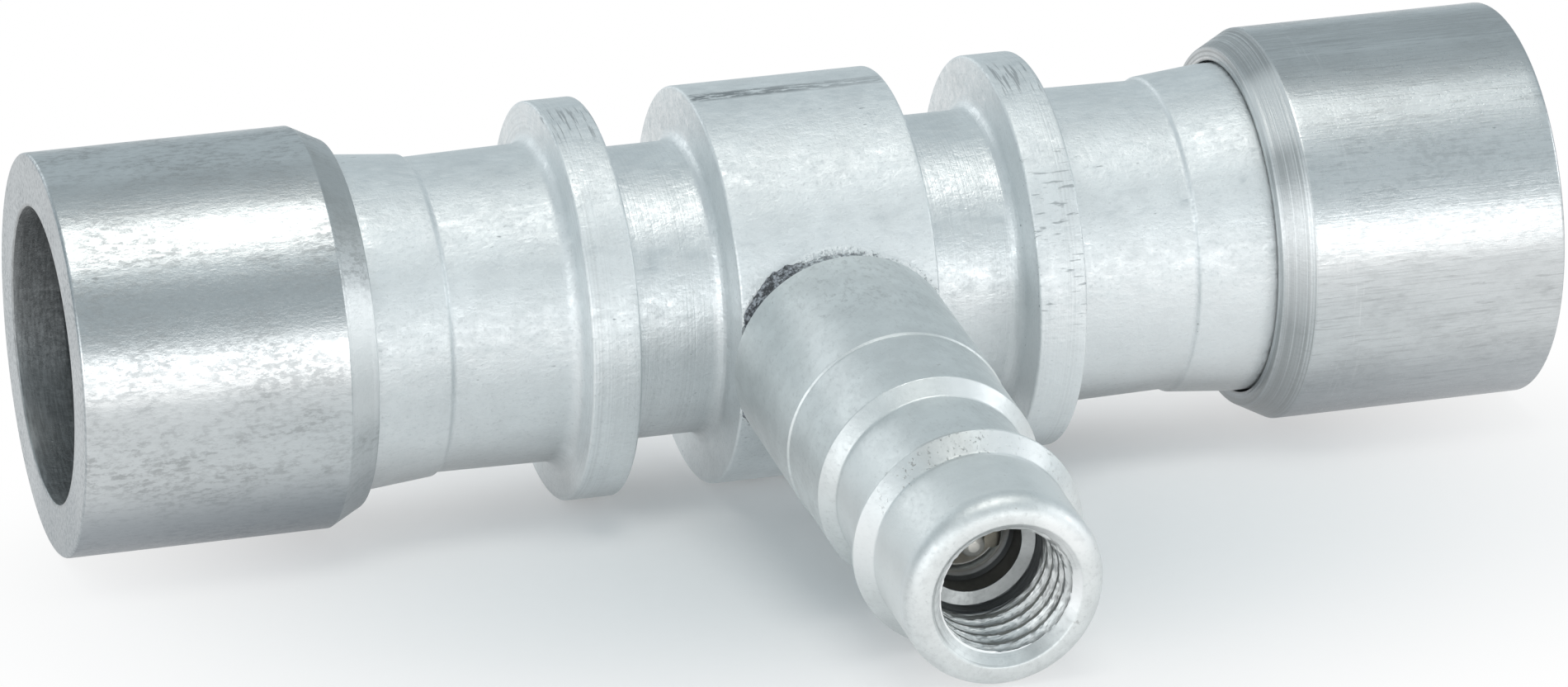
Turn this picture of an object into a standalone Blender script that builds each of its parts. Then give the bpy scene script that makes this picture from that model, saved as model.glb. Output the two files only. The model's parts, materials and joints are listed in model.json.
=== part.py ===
"""Compression tube coupling with a side service port.

A turned aluminium body takes a tube in each end. A compression ring waits on each sleeve and is
pushed inward, up to the flange, to squeeze the sleeve onto the tube. A service port is brazed to
the collar in the middle and holds a spring-loaded valve core.

The fitting lies on its rings, flanges and collar, with the run along X, and leans on the lip of
the port, which points to -Y. Lengths are in metres and +Z is up.
"""

from math import asin, atan2, cos, dist, hypot, pi, radians, sin, tan, tau

import bmesh
import bpy
from mathutils import Vector

MM = 0.001

# Tube and sleeve
TUBE_OD = 16.0 * MM
TUBE_WALL = 1.5 * MM
TUBE_CLEARANCE = 0.1 * MM
SLEEVE_WALL = 0.7 * MM
SLEEVE_TAPER = 0.12 * MM
LAND_LENGTH = 6.4 * MM
LAND_TAPER_LENGTH = 3.9 * MM
LAND_STEP = 0.2 * MM
LAND_RISE = 0.35 * MM
LEAD_IN = 0.3 * MM

# Collar, necks and flanges of the coupling body
RUN_WALL = 3.2 * MM
COLLAR_LENGTH = 11.4 * MM
NECK_WALL = 1.7 * MM
NECK_LENGTH = 5.7 * MM
FLANGE_THICKNESS = 2.8 * MM
TUBE_STOP_DEPTH = 0.6 * MM
ROOT_FILLET = 0.8 * MM
EDGE_BREAK = 0.15 * MM

# Compression rings
RING_LENGTH = 16.55 * MM
RING_LIP_LENGTH = 2.95 * MM
RING_LIP_CLEARANCE = 0.25 * MM
RING_CONE_LENGTH = 1.8 * MM
RING_TIP_WALL = 0.65 * MM
RING_EDGE = 0.2 * MM
RING_CLEARANCE = 0.25 * MM
RING_GRIP = 1.85 * MM
RING_STOP_GAP = 0.3 * MM

# Service port: its radii, from the bore of the core outwards
CORE_BORE = 4.7 * MM
CORE_ENTRY_LEDGE = 0.35 * MM
CAP_LEDGE = 0.77 * MM
MOUTH_CHAMFER = 0.7 * MM
NOSE_WALL = 2.03 * MM
LIP_RISE = 0.85 * MM
PORT_BODY_RISE = 0.7 * MM
PORT_BASE_RISE = 0.1 * MM
PORT_NECK_DROP = 0.78 * MM
SPIGOT_STEP = 1.3 * MM
PASSAGE_STEP = 0.4 * MM
CROSS_BORE_STEP = 0.55 * MM

# Service port: its lengths, from its spigot in the collar out to its mouth and back inside
SPIGOT_LENGTH = 3.2 * MM
SPIGOT_CLEARANCE = 0.1 * MM
PORT_STANDOFF = 0.3 * MM
PORT_BASE_LENGTH = 10.4 * MM
PORT_LINE = 0.1 * MM
PORT_BODY_LENGTH = 5.4 * MM
PORT_STEP_LENGTH = 0.8 * MM
PORT_NECK_LENGTH = 4.9 * MM
LIP_BACK_LENGTH = 1.1 * MM
LIP_WIDTH = 0.2 * MM
LIP_CONE_LENGTH = 1.0 * MM
NOSE_LENGTH = 5.9 * MM
NOSE_ROUND = 1.1 * MM
MOUTH_DEPTH = 0.6 * MM
CAP_BORE_LENGTH = 5.35 * MM
CAP_SHOULDER_RISE = 0.18 * MM
CORE_ENTRY_LENGTH = 1.3 * MM
CORE_ENTRY_CONE = 0.4 * MM
CORE_BORE_LENGTH = 5.1 * MM
SEAT_LENGTH = 1.0 * MM
BRAZE_WIDTH = 1.1 * MM
BRAZE_GAP = 0.05 * MM

# Valve core
CORE_CLEARANCE = 0.1 * MM
CORE_GAP = 0.05 * MM
GASKET_LENGTH = 1.25 * MM
GASKET_WALL = 0.34 * MM
BARREL_HEAD_LENGTH = 1.3 * MM
BARREL_SKIRT_LENGTH = 2.5 * MM
BARREL_CLEARANCE = 0.3 * MM
BARREL_WALL = 0.55 * MM
BARREL_FLOOR = 0.7 * MM
PLUG_LENGTH = 3.25 * MM
PLUG_BORE = 1.5 * MM
EAR_HEIGHT = 1.4 * MM
EAR_STEP = 0.35 * MM
EAR_WIDTH = 1.2 * MM
PIN_STEM_DIAMETER = 0.9 * MM
PIN_STEM_CLEARANCE = 0.15 * MM
PIN_HEAD_DIAMETER = 1.36 * MM
PIN_HEAD_LENGTH = 0.75 * MM
PIN_HEAD_PROUD = 1.0 * MM
PIN_COLLAR_CLEARANCE = 0.15 * MM
PIN_COLLAR_LENGTH = 0.4 * MM
PIN_COLLAR_DEPTH = 0.3 * MM
PIN_FOOT_DIAMETER = 1.6 * MM
PIN_FOOT_LENGTH = 0.4 * MM
SEAL_THICKNESS = 0.55 * MM
CUP_CLEARANCE = 0.45 * MM
CUP_WALL = 0.2 * MM
CUP_FLOOR = 0.5 * MM
CUP_RIM_DROP = 0.25 * MM
SPRING_WIRE = 0.28 * MM
SPRING_CLEARANCE = 0.14 * MM
SPRING_TURNS = 4
SPRING_POINTS_PER_TURN = 10

RUN_SEGMENTS = 48
PORT_SEGMENTS = 40
CORE_SEGMENTS = 20
ARC_STEPS = 3

# Places along the run, from the middle of the collar
COLLAR_FACE = COLLAR_LENGTH / 2
FLANGE_INNER_FACE = COLLAR_FACE + NECK_LENGTH
FLANGE_OUTER_FACE = FLANGE_INNER_FACE + FLANGE_THICKNESS
RING_TRAVEL = RING_LENGTH - RING_LIP_LENGTH - RING_GRIP - RING_STOP_GAP
RING_TIP = FLANGE_OUTER_FACE + RING_STOP_GAP + RING_TRAVEL
SLEEVE_END = RING_TIP + RING_GRIP
SLEEVE_STEP = SLEEVE_END - LAND_LENGTH
TUBE_STOP = FLANGE_INNER_FACE + TUBE_STOP_DEPTH

# Radii along the run
RUN_RADIUS = TUBE_OD / 2 + RUN_WALL
BORE_RADIUS = TUBE_OD / 2 - TUBE_WALL
NECK_RADIUS = BORE_RADIUS + NECK_WALL
SOCKET_RADIUS = TUBE_OD / 2 + TUBE_CLEARANCE
SLEEVE_RADIUS = SOCKET_RADIUS + SLEEVE_WALL
LAND_RADIUS = SLEEVE_RADIUS + LAND_STEP + LAND_RISE
RING_CHAMBER_RADIUS = LAND_RADIUS + RING_CLEARANCE
RING_LIP_RADIUS = TUBE_OD / 2 + RING_LIP_CLEARANCE

# Radii of the port and the valve core
CORE_BORE_RADIUS = CORE_BORE / 2
CORE_ENTRY_RADIUS = CORE_BORE_RADIUS + CORE_ENTRY_LEDGE
CAP_BORE_RADIUS = CORE_ENTRY_RADIUS + CAP_LEDGE
MOUTH_RADIUS = CAP_BORE_RADIUS + MOUTH_CHAMFER
NOSE_RADIUS = CAP_BORE_RADIUS + NOSE_WALL
LIP_RADIUS = NOSE_RADIUS + LIP_RISE
PORT_BODY_RADIUS = NOSE_RADIUS + PORT_BODY_RISE
PORT_BASE_RADIUS = PORT_BODY_RADIUS + PORT_BASE_RISE
PORT_NECK_RADIUS = PORT_BODY_RADIUS - PORT_NECK_DROP
SPIGOT_RADIUS = PORT_BASE_RADIUS - SPIGOT_STEP
PASSAGE_RADIUS = CORE_BORE_RADIUS - PASSAGE_STEP
CROSS_BORE_RADIUS = PASSAGE_RADIUS + CROSS_BORE_STEP
PLUG_RADIUS = CORE_BORE_RADIUS - CORE_CLEARANCE
EAR_RADIUS = PLUG_RADIUS - EAR_STEP
GASKET_RADIUS = PASSAGE_RADIUS - CORE_CLEARANCE
GASKET_INNER_RADIUS = GASKET_RADIUS - GASKET_WALL
BARREL_SKIRT_RADIUS = PASSAGE_RADIUS - BARREL_CLEARANCE
SPRING_CHAMBER_RADIUS = BARREL_SKIRT_RADIUS - BARREL_WALL
SPRING_RADIUS = SPRING_CHAMBER_RADIUS - SPRING_CLEARANCE - SPRING_WIRE / 2
PIN_COLLAR_RADIUS = SPRING_CHAMBER_RADIUS - PIN_COLLAR_CLEARANCE
CUP_RADIUS = PASSAGE_RADIUS - CUP_CLEARANCE
SEAL_RADIUS = CUP_RADIUS - CUP_WALL - CORE_GAP

# Places along the port, from the axis of the run
PORT_SHOULDER = RUN_RADIUS + PORT_STANDOFF
PORT_LINE_END = PORT_SHOULDER + PORT_BASE_LENGTH
PORT_BODY_END = PORT_LINE_END + PORT_BODY_LENGTH
PORT_NECK_START = PORT_BODY_END + PORT_STEP_LENGTH
PORT_NECK_END = PORT_NECK_START + PORT_NECK_LENGTH
LIP_BACK = PORT_NECK_END + LIP_BACK_LENGTH
LIP_FRONT = LIP_BACK + LIP_WIDTH
NOSE_START = LIP_FRONT + LIP_CONE_LENGTH
PORT_FRONT = NOSE_START + NOSE_LENGTH
CAP_BORE_START = PORT_FRONT - MOUTH_DEPTH
CAP_SHOULDER = CAP_BORE_START - CAP_BORE_LENGTH
CORE_ENTRY_START = CAP_SHOULDER - CAP_SHOULDER_RISE
CORE_ENTRY_END = CORE_ENTRY_START - CORE_ENTRY_LENGTH
CORE_BORE_START = CORE_ENTRY_END - CORE_ENTRY_CONE
SEAT_START = CORE_BORE_START - CORE_BORE_LENGTH
SEAT_END = SEAT_START - SEAT_LENGTH
SPIGOT_END = PORT_SHOULDER - SPIGOT_LENGTH
SPIGOT_FLOOR = SPIGOT_END - SPIGOT_CLEARANCE

# Places along the valve core, on the same axis
GASKET_TOP = SEAT_START + CORE_GAP
GASKET_BOTTOM = GASKET_TOP - GASKET_LENGTH
BARREL_TOP = GASKET_TOP + CORE_GAP + BARREL_HEAD_LENGTH
BARREL_BOTTOM = GASKET_BOTTOM - CORE_GAP - BARREL_SKIRT_LENGTH
SPRING_FLOOR = BARREL_BOTTOM + BARREL_FLOOR
PLUG_BOTTOM = BARREL_TOP + CORE_GAP
PLUG_TOP = PLUG_BOTTOM + PLUG_LENGTH
EAR_TOP = PLUG_TOP + EAR_HEIGHT
PIN_TIP = EAR_TOP + PIN_HEAD_PROUD
PIN_COLLAR_TOP = BARREL_TOP - PIN_COLLAR_DEPTH
PIN_COLLAR_BOTTOM = PIN_COLLAR_TOP - PIN_COLLAR_LENGTH
SEAL_TOP = BARREL_BOTTOM - CORE_GAP
SEAL_BOTTOM = SEAL_TOP - SEAL_THICKNESS
CUP_FLOOR_TOP = SEAL_BOTTOM - CORE_GAP
CUP_BOTTOM = CUP_FLOOR_TOP - CUP_FLOOR
PIN_FOOT_TOP = CUP_BOTTOM - CORE_GAP
PIN_FOOT_BOTTOM = PIN_FOOT_TOP - PIN_FOOT_LENGTH


def resting_tilt():
    """Angle by which the port points down when its widest edges touch the ground."""
    edges = [
        (LIP_FRONT, LIP_RADIUS),
        (LIP_BACK, LIP_RADIUS),
        (PORT_FRONT - NOSE_ROUND, NOSE_RADIUS),
        (PORT_LINE_END, PORT_BASE_RADIUS),
    ]
    return min(asin(RUN_RADIUS / hypot(reach, r)) - atan2(r, reach) for reach, r in edges)


PORT_TILT = resting_tilt()
NOSE_REACH = (
    (PORT_FRONT - NOSE_ROUND) * cos(PORT_TILT)
    + (NOSE_RADIUS - NOSE_ROUND) * sin(PORT_TILT)
    + NOSE_ROUND
)
RUN_Y = (NOSE_REACH - RUN_RADIUS) / 2


def clear_scene():
    for old in list(bpy.data.objects):
        bpy.data.objects.remove(old, do_unlink=True)


def make_material(name, colour, roughness, metallic):
    material = bpy.data.materials.new(name)
    material.use_nodes = True
    shader = material.node_tree.nodes["Principled BSDF"]
    shader.inputs["Base Color"].default_value = (*colour, 1.0)
    shader.inputs["Roughness"].default_value = roughness
    shader.inputs["Metallic"].default_value = metallic
    material.diffuse_color = (*colour, 1.0)
    return material


def make_empty(name, location, rotation=(0.0, 0.0, 0.0), parent=None):
    empty = bpy.data.objects.new(name, None)
    empty.location = location
    empty.rotation_euler = rotation
    empty.parent = parent
    bpy.context.collection.objects.link(empty)
    return empty


def fillet(before, corner, after, radius):
    """Points of the arc that rounds one corner of an outline."""
    to_before = (Vector(before) - Vector(corner)).normalized()
    to_after = (Vector(after) - Vector(corner)).normalized()
    half = to_before.angle(to_after) / 2
    centre = Vector(corner) + (to_before + to_after).normalized() * (radius / sin(half))
    first = Vector(corner) + to_before * (radius / tan(half)) - centre
    last = Vector(corner) + to_after * (radius / tan(half)) - centre
    turn = first.angle_signed(last)
    points = []
    for step in range(ARC_STEPS + 1):
        angle = -turn * step / ARC_STEPS
        points.append((
            centre.x + first.x * cos(angle) - first.y * sin(angle),
            centre.y + first.x * sin(angle) + first.y * cos(angle),
        ))
    return points


def rounded(corners):
    """Outline of (radius, place) points from corners, each with an optional rounding radius."""
    outline = []
    for index, corner in enumerate(corners):
        point = corner[:2]
        if len(corner) < 3:
            outline.append(point)
            continue
        before = corners[index - 1][:2]
        after = corners[(index + 1) % len(corners)][:2]
        outline.extend(fillet(before, point, after, corner[2]))
    return outline


def link_mesh(name, bm, material, parent):
    mesh = bpy.data.meshes.new(name)
    bm.to_mesh(mesh)
    bm.free()
    mesh.shade_smooth()
    mesh.set_sharp_from_angle(angle=radians(25))
    if material:
        mesh.materials.append(material)
    piece = bpy.data.objects.new(name, mesh)
    piece.parent = parent
    bpy.context.collection.objects.link(piece)
    return piece


def turned(name, corners, segments, material=None, parent=None):
    """A piece turned about its own Z axis from a closed outline."""
    bm = bmesh.new()
    verts = [bm.verts.new((r, 0.0, place)) for r, place in rounded(corners)]
    edges = []
    for one, other in zip(verts, verts[1:] + verts[:1]):
        if one.co.x or other.co.x:
            edges.append(bm.edges.new((one, other)))
    bmesh.ops.spin(
        bm, geom=verts + edges, cent=(0, 0, 0), axis=(0, 0, 1),
        angle=tau, steps=segments, use_merge=True,
    )
    bmesh.ops.remove_doubles(bm, verts=bm.verts, dist=1e-8)
    bmesh.ops.recalc_face_normals(bm, faces=bm.faces)
    return link_mesh(name, bm, material, parent)


def cut(piece, cutter):
    """Takes the cutter's shape away from the piece."""
    cutter.hide_render = True
    cutter.display_type = "WIRE"
    boolean = piece.modifiers.new(cutter.name, "BOOLEAN")
    boolean.operation = "DIFFERENCE"
    boolean.solver = "EXACT"
    boolean.object = cutter


def half_body_outline():
    """Corners of the +X half of the body: outside from the collar to the end, then back inside."""
    sleeve_root = SLEEVE_RADIUS + SLEEVE_TAPER
    land_start = SLEEVE_STEP + LAND_STEP
    outside = [
        (RUN_RADIUS, COLLAR_FACE, EDGE_BREAK),
        (NECK_RADIUS, COLLAR_FACE, ROOT_FILLET),
        (NECK_RADIUS, FLANGE_INNER_FACE, ROOT_FILLET),
        (RUN_RADIUS, FLANGE_INNER_FACE, EDGE_BREAK),
        (RUN_RADIUS, FLANGE_OUTER_FACE, EDGE_BREAK),
        (sleeve_root, FLANGE_OUTER_FACE, ROOT_FILLET),
        (SLEEVE_RADIUS, SLEEVE_STEP),
        (SLEEVE_RADIUS + LAND_STEP, land_start),
        (LAND_RADIUS, SLEEVE_STEP + LAND_TAPER_LENGTH),
        (LAND_RADIUS, SLEEVE_END - LEAD_IN),
        (LAND_RADIUS - LEAD_IN, SLEEVE_END),
    ]
    inside = [
        (SOCKET_RADIUS + LEAD_IN, SLEEVE_END),
        (SOCKET_RADIUS, SLEEVE_END - LEAD_IN),
        (SOCKET_RADIUS, TUBE_STOP),
        (BORE_RADIUS, TUBE_STOP),
    ]
    return outside, inside


def mirrored(corners):
    return [(r, -place, *rounding) for r, place, *rounding in reversed(corners)]


def make_body(material, run):
    outside, inside = half_body_outline()
    outline = mirrored(outside) + outside + inside + mirrored(inside)
    body = turned("coupling_body", outline, RUN_SEGMENTS, material, run)
    body.rotation_euler = (0.0, pi / 2, 0.0)
    return body


def bore_body_for_port(body, port_axis):
    """The stepped hole through the collar: a seat for the spigot and a passage to the run."""
    seat_radius = SPIGOT_RADIUS + SPIGOT_CLEARANCE
    cutter = turned("port_hole_cutter", [
        (0.0, 0.0),
        (CROSS_BORE_RADIUS, 0.0),
        (CROSS_BORE_RADIUS, SPIGOT_FLOOR),
        (seat_radius, SPIGOT_FLOOR),
        (seat_radius, PORT_SHOULDER),
        (0.0, PORT_SHOULDER),
    ], PORT_SEGMENTS, parent=port_axis)
    cut(body, cutter)


def make_ring(name, side, material, run):
    """A compression ring at rest on its sleeve; side is +1 for the +X end."""
    face = RING_LENGTH
    tip_radius = RING_CHAMBER_RADIUS + RING_TIP_WALL
    ring = turned(name, [
        (RING_CHAMBER_RADIUS, 0.0),
        (tip_radius, 0.0, RING_EDGE),
        (RUN_RADIUS, RING_CONE_LENGTH),
        (RUN_RADIUS, face, RING_EDGE),
        (RING_LIP_RADIUS + EDGE_BREAK, face),
        (RING_LIP_RADIUS, face - EDGE_BREAK),
        (RING_LIP_RADIUS, face - RING_LIP_LENGTH),
        (RING_CHAMBER_RADIUS, face - RING_LIP_LENGTH),
    ], RUN_SEGMENTS, material, run)
    ring.location = (side * RING_TIP, 0.0, 0.0)
    ring.rotation_euler = (0.0, side * pi / 2, 0.0)
    return ring


def make_port(material, port_axis):
    return turned("service_port", [
        (PASSAGE_RADIUS, SPIGOT_END),
        (SPIGOT_RADIUS, SPIGOT_END),
        (SPIGOT_RADIUS, PORT_SHOULDER),
        (PORT_BASE_RADIUS, PORT_SHOULDER, EDGE_BREAK),
        (PORT_BASE_RADIUS, PORT_LINE_END - PORT_LINE),
        (PORT_BODY_RADIUS, PORT_LINE_END),
        (PORT_BODY_RADIUS, PORT_BODY_END),
        (PORT_NECK_RADIUS, PORT_NECK_START),
        (PORT_NECK_RADIUS, PORT_NECK_END),
        (LIP_RADIUS, LIP_BACK),
        (LIP_RADIUS, LIP_FRONT),
        (NOSE_RADIUS, NOSE_START),
        (NOSE_RADIUS, PORT_FRONT, NOSE_ROUND),
        (MOUTH_RADIUS, PORT_FRONT),
        (CAP_BORE_RADIUS, CAP_BORE_START),
        (CAP_BORE_RADIUS, CAP_SHOULDER),
        (CORE_ENTRY_RADIUS, CORE_ENTRY_START),
        (CORE_ENTRY_RADIUS, CORE_ENTRY_END),
        (CORE_BORE_RADIUS, CORE_BORE_START),
        (CORE_BORE_RADIUS, SEAT_START),
        (PASSAGE_RADIUS, SEAT_END),
    ], PORT_SEGMENTS, material, port_axis)


def make_braze(material, run, port_axis):
    """The saddle of filler metal between the port's shoulder and the round collar."""
    inner = SPIGOT_RADIUS + BRAZE_GAP
    outer = SPIGOT_RADIUS + BRAZE_WIDTH
    braze = turned("braze_ring", [
        (inner, SPIGOT_END),
        (outer, SPIGOT_END),
        (outer, PORT_SHOULDER - BRAZE_GAP),
        (inner, PORT_SHOULDER - BRAZE_GAP),
    ], PORT_SEGMENTS, material, port_axis)
    saddle = turned("braze_saddle_cutter", [
        (0.0, -COLLAR_LENGTH),
        (RUN_RADIUS + BRAZE_GAP, -COLLAR_LENGTH),
        (RUN_RADIUS + BRAZE_GAP, COLLAR_LENGTH),
        (0.0, COLLAR_LENGTH),
    ], RUN_SEGMENTS, parent=run)
    saddle.rotation_euler = (0.0, pi / 2, 0.0)
    cut(braze, saddle)
    return braze


def make_plug(material, port_axis):
    """The threaded head of the core, with two ears that a key turns."""
    plug = turned("core_plug", [
        (PLUG_BORE / 2, PLUG_BOTTOM),
        (PLUG_RADIUS, PLUG_BOTTOM),
        (PLUG_RADIUS, PLUG_TOP),
        (EAR_RADIUS, PLUG_TOP),
        (EAR_RADIUS, EAR_TOP),
        (PLUG_BORE / 2, EAR_TOP),
    ], CORE_SEGMENTS, material, port_axis)
    bm = bmesh.new()
    for side in (-1, 1):
        made = bmesh.ops.create_cube(bm, size=1.0)
        middle = side * (EAR_WIDTH / 2 + EAR_RADIUS)
        for vert in made["verts"]:
            vert.co.x *= 4 * EAR_RADIUS
            vert.co.y = vert.co.y * 2 * EAR_RADIUS + middle
            vert.co.z = vert.co.z * 2 * EAR_HEIGHT + PLUG_TOP + EAR_HEIGHT
    cut(plug, link_mesh("ear_flats_cutter", bm, None, port_axis))
    return plug


def make_barrel(material, port_axis):
    groove = GASKET_INNER_RADIUS - CORE_GAP
    stem_hole = PIN_STEM_DIAMETER / 2 + PIN_STEM_CLEARANCE
    return turned("core_barrel", [
        (stem_hole, BARREL_BOTTOM),
        (BARREL_SKIRT_RADIUS, BARREL_BOTTOM),
        (BARREL_SKIRT_RADIUS, GASKET_BOTTOM - CORE_GAP),
        (groove, GASKET_BOTTOM - CORE_GAP),
        (groove, GASKET_TOP + CORE_GAP),
        (PLUG_RADIUS, GASKET_TOP + CORE_GAP),
        (PLUG_RADIUS, BARREL_TOP),
        (SPRING_CHAMBER_RADIUS, BARREL_TOP),
        (SPRING_CHAMBER_RADIUS, SPRING_FLOOR),
        (stem_hole, SPRING_FLOOR),
    ], CORE_SEGMENTS, material, port_axis)


def make_gasket(material, port_axis):
    return turned("barrel_gasket", [
        (GASKET_INNER_RADIUS, GASKET_BOTTOM),
        (GASKET_RADIUS, GASKET_BOTTOM),
        (GASKET_RADIUS, SEAT_END),
        (PLUG_RADIUS, SEAT_START),
        (PLUG_RADIUS, GASKET_TOP),
        (GASKET_INNER_RADIUS, GASKET_TOP),
    ], CORE_SEGMENTS, material, port_axis)


def make_pin(material, valve):
    stem = PIN_STEM_DIAMETER / 2
    head = PIN_HEAD_DIAMETER / 2
    foot = PIN_FOOT_DIAMETER / 2
    return turned("valve_pin", [
        (0.0, PIN_FOOT_BOTTOM - PIN_TIP),
        (foot, PIN_FOOT_BOTTOM - PIN_TIP),
        (foot, PIN_FOOT_TOP - PIN_TIP),
        (stem, PIN_FOOT_TOP - PIN_TIP),
        (stem, PIN_COLLAR_BOTTOM - PIN_TIP),
        (PIN_COLLAR_RADIUS, PIN_COLLAR_BOTTOM - PIN_TIP),
        (PIN_COLLAR_RADIUS, PIN_COLLAR_TOP - PIN_TIP),
        (stem, PIN_COLLAR_TOP - PIN_TIP),
        (stem, -PIN_HEAD_LENGTH),
        (head, -PIN_HEAD_LENGTH),
        (head, 0.0, head / 2),
        (0.0, 0.0),
    ], CORE_SEGMENTS, material, valve)


def make_poppet(cup_material, seal_material, valve):
    hole = PIN_STEM_DIAMETER / 2 + CORE_GAP
    cup_inner = CUP_RADIUS - CUP_WALL
    rim = SEAL_TOP - CUP_RIM_DROP
    cup = turned("poppet_cup", [
        (hole, CUP_BOTTOM - PIN_TIP),
        (CUP_RADIUS, CUP_BOTTOM - PIN_TIP),
        (CUP_RADIUS, rim - PIN_TIP),
        (cup_inner, rim - PIN_TIP),
        (cup_inner, CUP_FLOOR_TOP - PIN_TIP),
        (hole, CUP_FLOOR_TOP - PIN_TIP),
    ], CORE_SEGMENTS, cup_material, valve)
    seal = turned("poppet_seal", [
        (hole, SEAL_BOTTOM - PIN_TIP),
        (SEAL_RADIUS, SEAL_BOTTOM - PIN_TIP),
        (SEAL_RADIUS, SEAL_TOP - PIN_TIP),
        (hole, SEAL_TOP - PIN_TIP),
    ], CORE_SEGMENTS, seal_material, valve)
    return cup, seal


def make_spring(material, port_axis):
    """A helical spring between the floor of the barrel and the collar of the pin."""
    low = SPRING_FLOOR + CORE_GAP + SPRING_WIRE / 2
    high = PIN_COLLAR_BOTTOM - CORE_GAP - SPRING_WIRE / 2
    count = SPRING_TURNS * SPRING_POINTS_PER_TURN
    points = []
    for step in range(count + 1):
        angle = tau * step / SPRING_POINTS_PER_TURN
        place = low + (high - low) * step / count
        points.append((SPRING_RADIUS * cos(angle), SPRING_RADIUS * sin(angle), place))
    apart = SPRING_POINTS_PER_TURN // 2
    gap = min(
        dist(points[i], points[j]) - SPRING_WIRE
        for i in range(count + 1) for j in range(i + apart, count + 1)
    )
    print(f"valve_spring least gap between turns: {gap / MM:.2f} mm")
    curve = bpy.data.curves.new("valve_spring", "CURVE")
    curve.dimensions = "3D"
    curve.bevel_depth = SPRING_WIRE / 2
    curve.bevel_resolution = 1
    curve.use_fill_caps = True
    spline = curve.splines.new("POLY")
    spline.points.add(count)
    for target, point in zip(spline.points, points):
        target.co = (*point, 1.0)
    curve.materials.append(material)
    spring = bpy.data.objects.new("valve_spring", curve)
    spring.parent = port_axis
    bpy.context.collection.objects.link(spring)
    return spring


def main():
    clear_scene()
    satin = make_material("satin_aluminium", (0.80, 0.83, 0.86), 0.38, 1.0)
    drawn = make_material("drawn_aluminium", (0.74, 0.76, 0.77), 0.28, 1.0)
    port_alloy = make_material("port_aluminium", (0.76, 0.79, 0.78), 0.36, 1.0)
    filler = make_material("braze_filler", (0.36, 0.37, 0.39), 0.75, 0.6)
    brass = make_material("core_brass", (0.72, 0.60, 0.42), 0.35, 1.0)
    steel = make_material("spring_steel", (0.62, 0.63, 0.65), 0.30, 1.0)
    nickel = make_material("pin_nickel", (0.74, 0.70, 0.62), 0.30, 1.0)
    fluoropolymer = make_material("gasket_fluoropolymer", (0.85, 0.84, 0.80), 0.55, 0.0)
    rubber = make_material("seal_rubber", (0.03, 0.03, 0.03), 0.80, 0.0)

    run = make_empty("run_axis", (0.0, RUN_Y, RUN_RADIUS))
    port_axis = make_empty("port_axis", (0.0, 0.0, 0.0), (pi / 2 + PORT_TILT, 0.0, 0.0), run)
    valve = make_empty("valve_axis", (0.0, 0.0, PIN_TIP), parent=port_axis)

    body = make_body(satin, run)
    bore_body_for_port(body, port_axis)
    make_ring("left_compression_ring", -1, drawn, run)
    make_ring("right_compression_ring", 1, drawn, run)
    make_port(port_alloy, port_axis)
    make_braze(filler, run, port_axis)
    make_plug(brass, port_axis)
    make_barrel(brass, port_axis)
    make_gasket(fluoropolymer, port_axis)
    make_pin(nickel, valve)
    make_poppet(brass, rubber, valve)
    make_spring(steel, port_axis)


main()
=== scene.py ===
"""Looks of a compression tube coupling with a side service port.

The file is laid out as an add-on. Each operator makes one piece, or one group of like pieces,
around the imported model, and the panel in the sidebar lists them in the order they are run in.
"""

import json
from math import atan2, cos, pi, radians, sin, sqrt, tan, tau

import bmesh
import bpy
import numpy as np
from bpy.props import FloatProperty, FloatVectorProperty, IntProperty, PointerProperty
from mathutils import Euler, Matrix, Vector, noise


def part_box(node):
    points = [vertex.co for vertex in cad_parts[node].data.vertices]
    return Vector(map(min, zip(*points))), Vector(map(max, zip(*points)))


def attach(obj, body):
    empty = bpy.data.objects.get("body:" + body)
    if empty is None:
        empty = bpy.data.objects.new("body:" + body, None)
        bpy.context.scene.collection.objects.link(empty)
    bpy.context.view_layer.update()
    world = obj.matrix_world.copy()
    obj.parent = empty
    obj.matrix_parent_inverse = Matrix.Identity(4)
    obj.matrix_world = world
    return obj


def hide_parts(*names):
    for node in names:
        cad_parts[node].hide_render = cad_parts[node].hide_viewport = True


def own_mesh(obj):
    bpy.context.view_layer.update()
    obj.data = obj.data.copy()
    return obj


bl_info = {
    "name": "Compression Coupling Looks",
    "version": (1, 0, 0),
    "blender": (4, 5, 0),
    "location": "3D View > Sidebar > Coupling",
    "description": "Turned pieces, finishes and a plain stage for a compression tube coupling",
    "category": "Object",
}

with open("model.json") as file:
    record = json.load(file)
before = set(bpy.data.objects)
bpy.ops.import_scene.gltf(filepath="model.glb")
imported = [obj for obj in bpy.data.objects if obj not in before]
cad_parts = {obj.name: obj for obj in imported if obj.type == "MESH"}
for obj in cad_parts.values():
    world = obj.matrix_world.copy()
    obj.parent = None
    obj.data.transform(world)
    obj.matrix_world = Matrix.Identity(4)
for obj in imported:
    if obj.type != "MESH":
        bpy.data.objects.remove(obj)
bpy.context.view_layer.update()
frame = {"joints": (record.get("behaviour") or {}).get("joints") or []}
MM = 0.001

# The run: local Z of its pieces points along the tubes, to +X of the model.
RING_LOW, RING_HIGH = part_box("left_compression_ring")
RUN_RADIUS = (RING_HIGH.z - RING_LOW.z) / 2
RUN_CENTRE = Vector((0.0, (RING_LOW.y + RING_HIGH.y) / 2, (RING_LOW.z + RING_HIGH.z) / 2))
RUN_PLACE = Matrix.Translation(RUN_CENTRE) @ Matrix.Rotation(pi / 2, 4, "Y")

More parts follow.
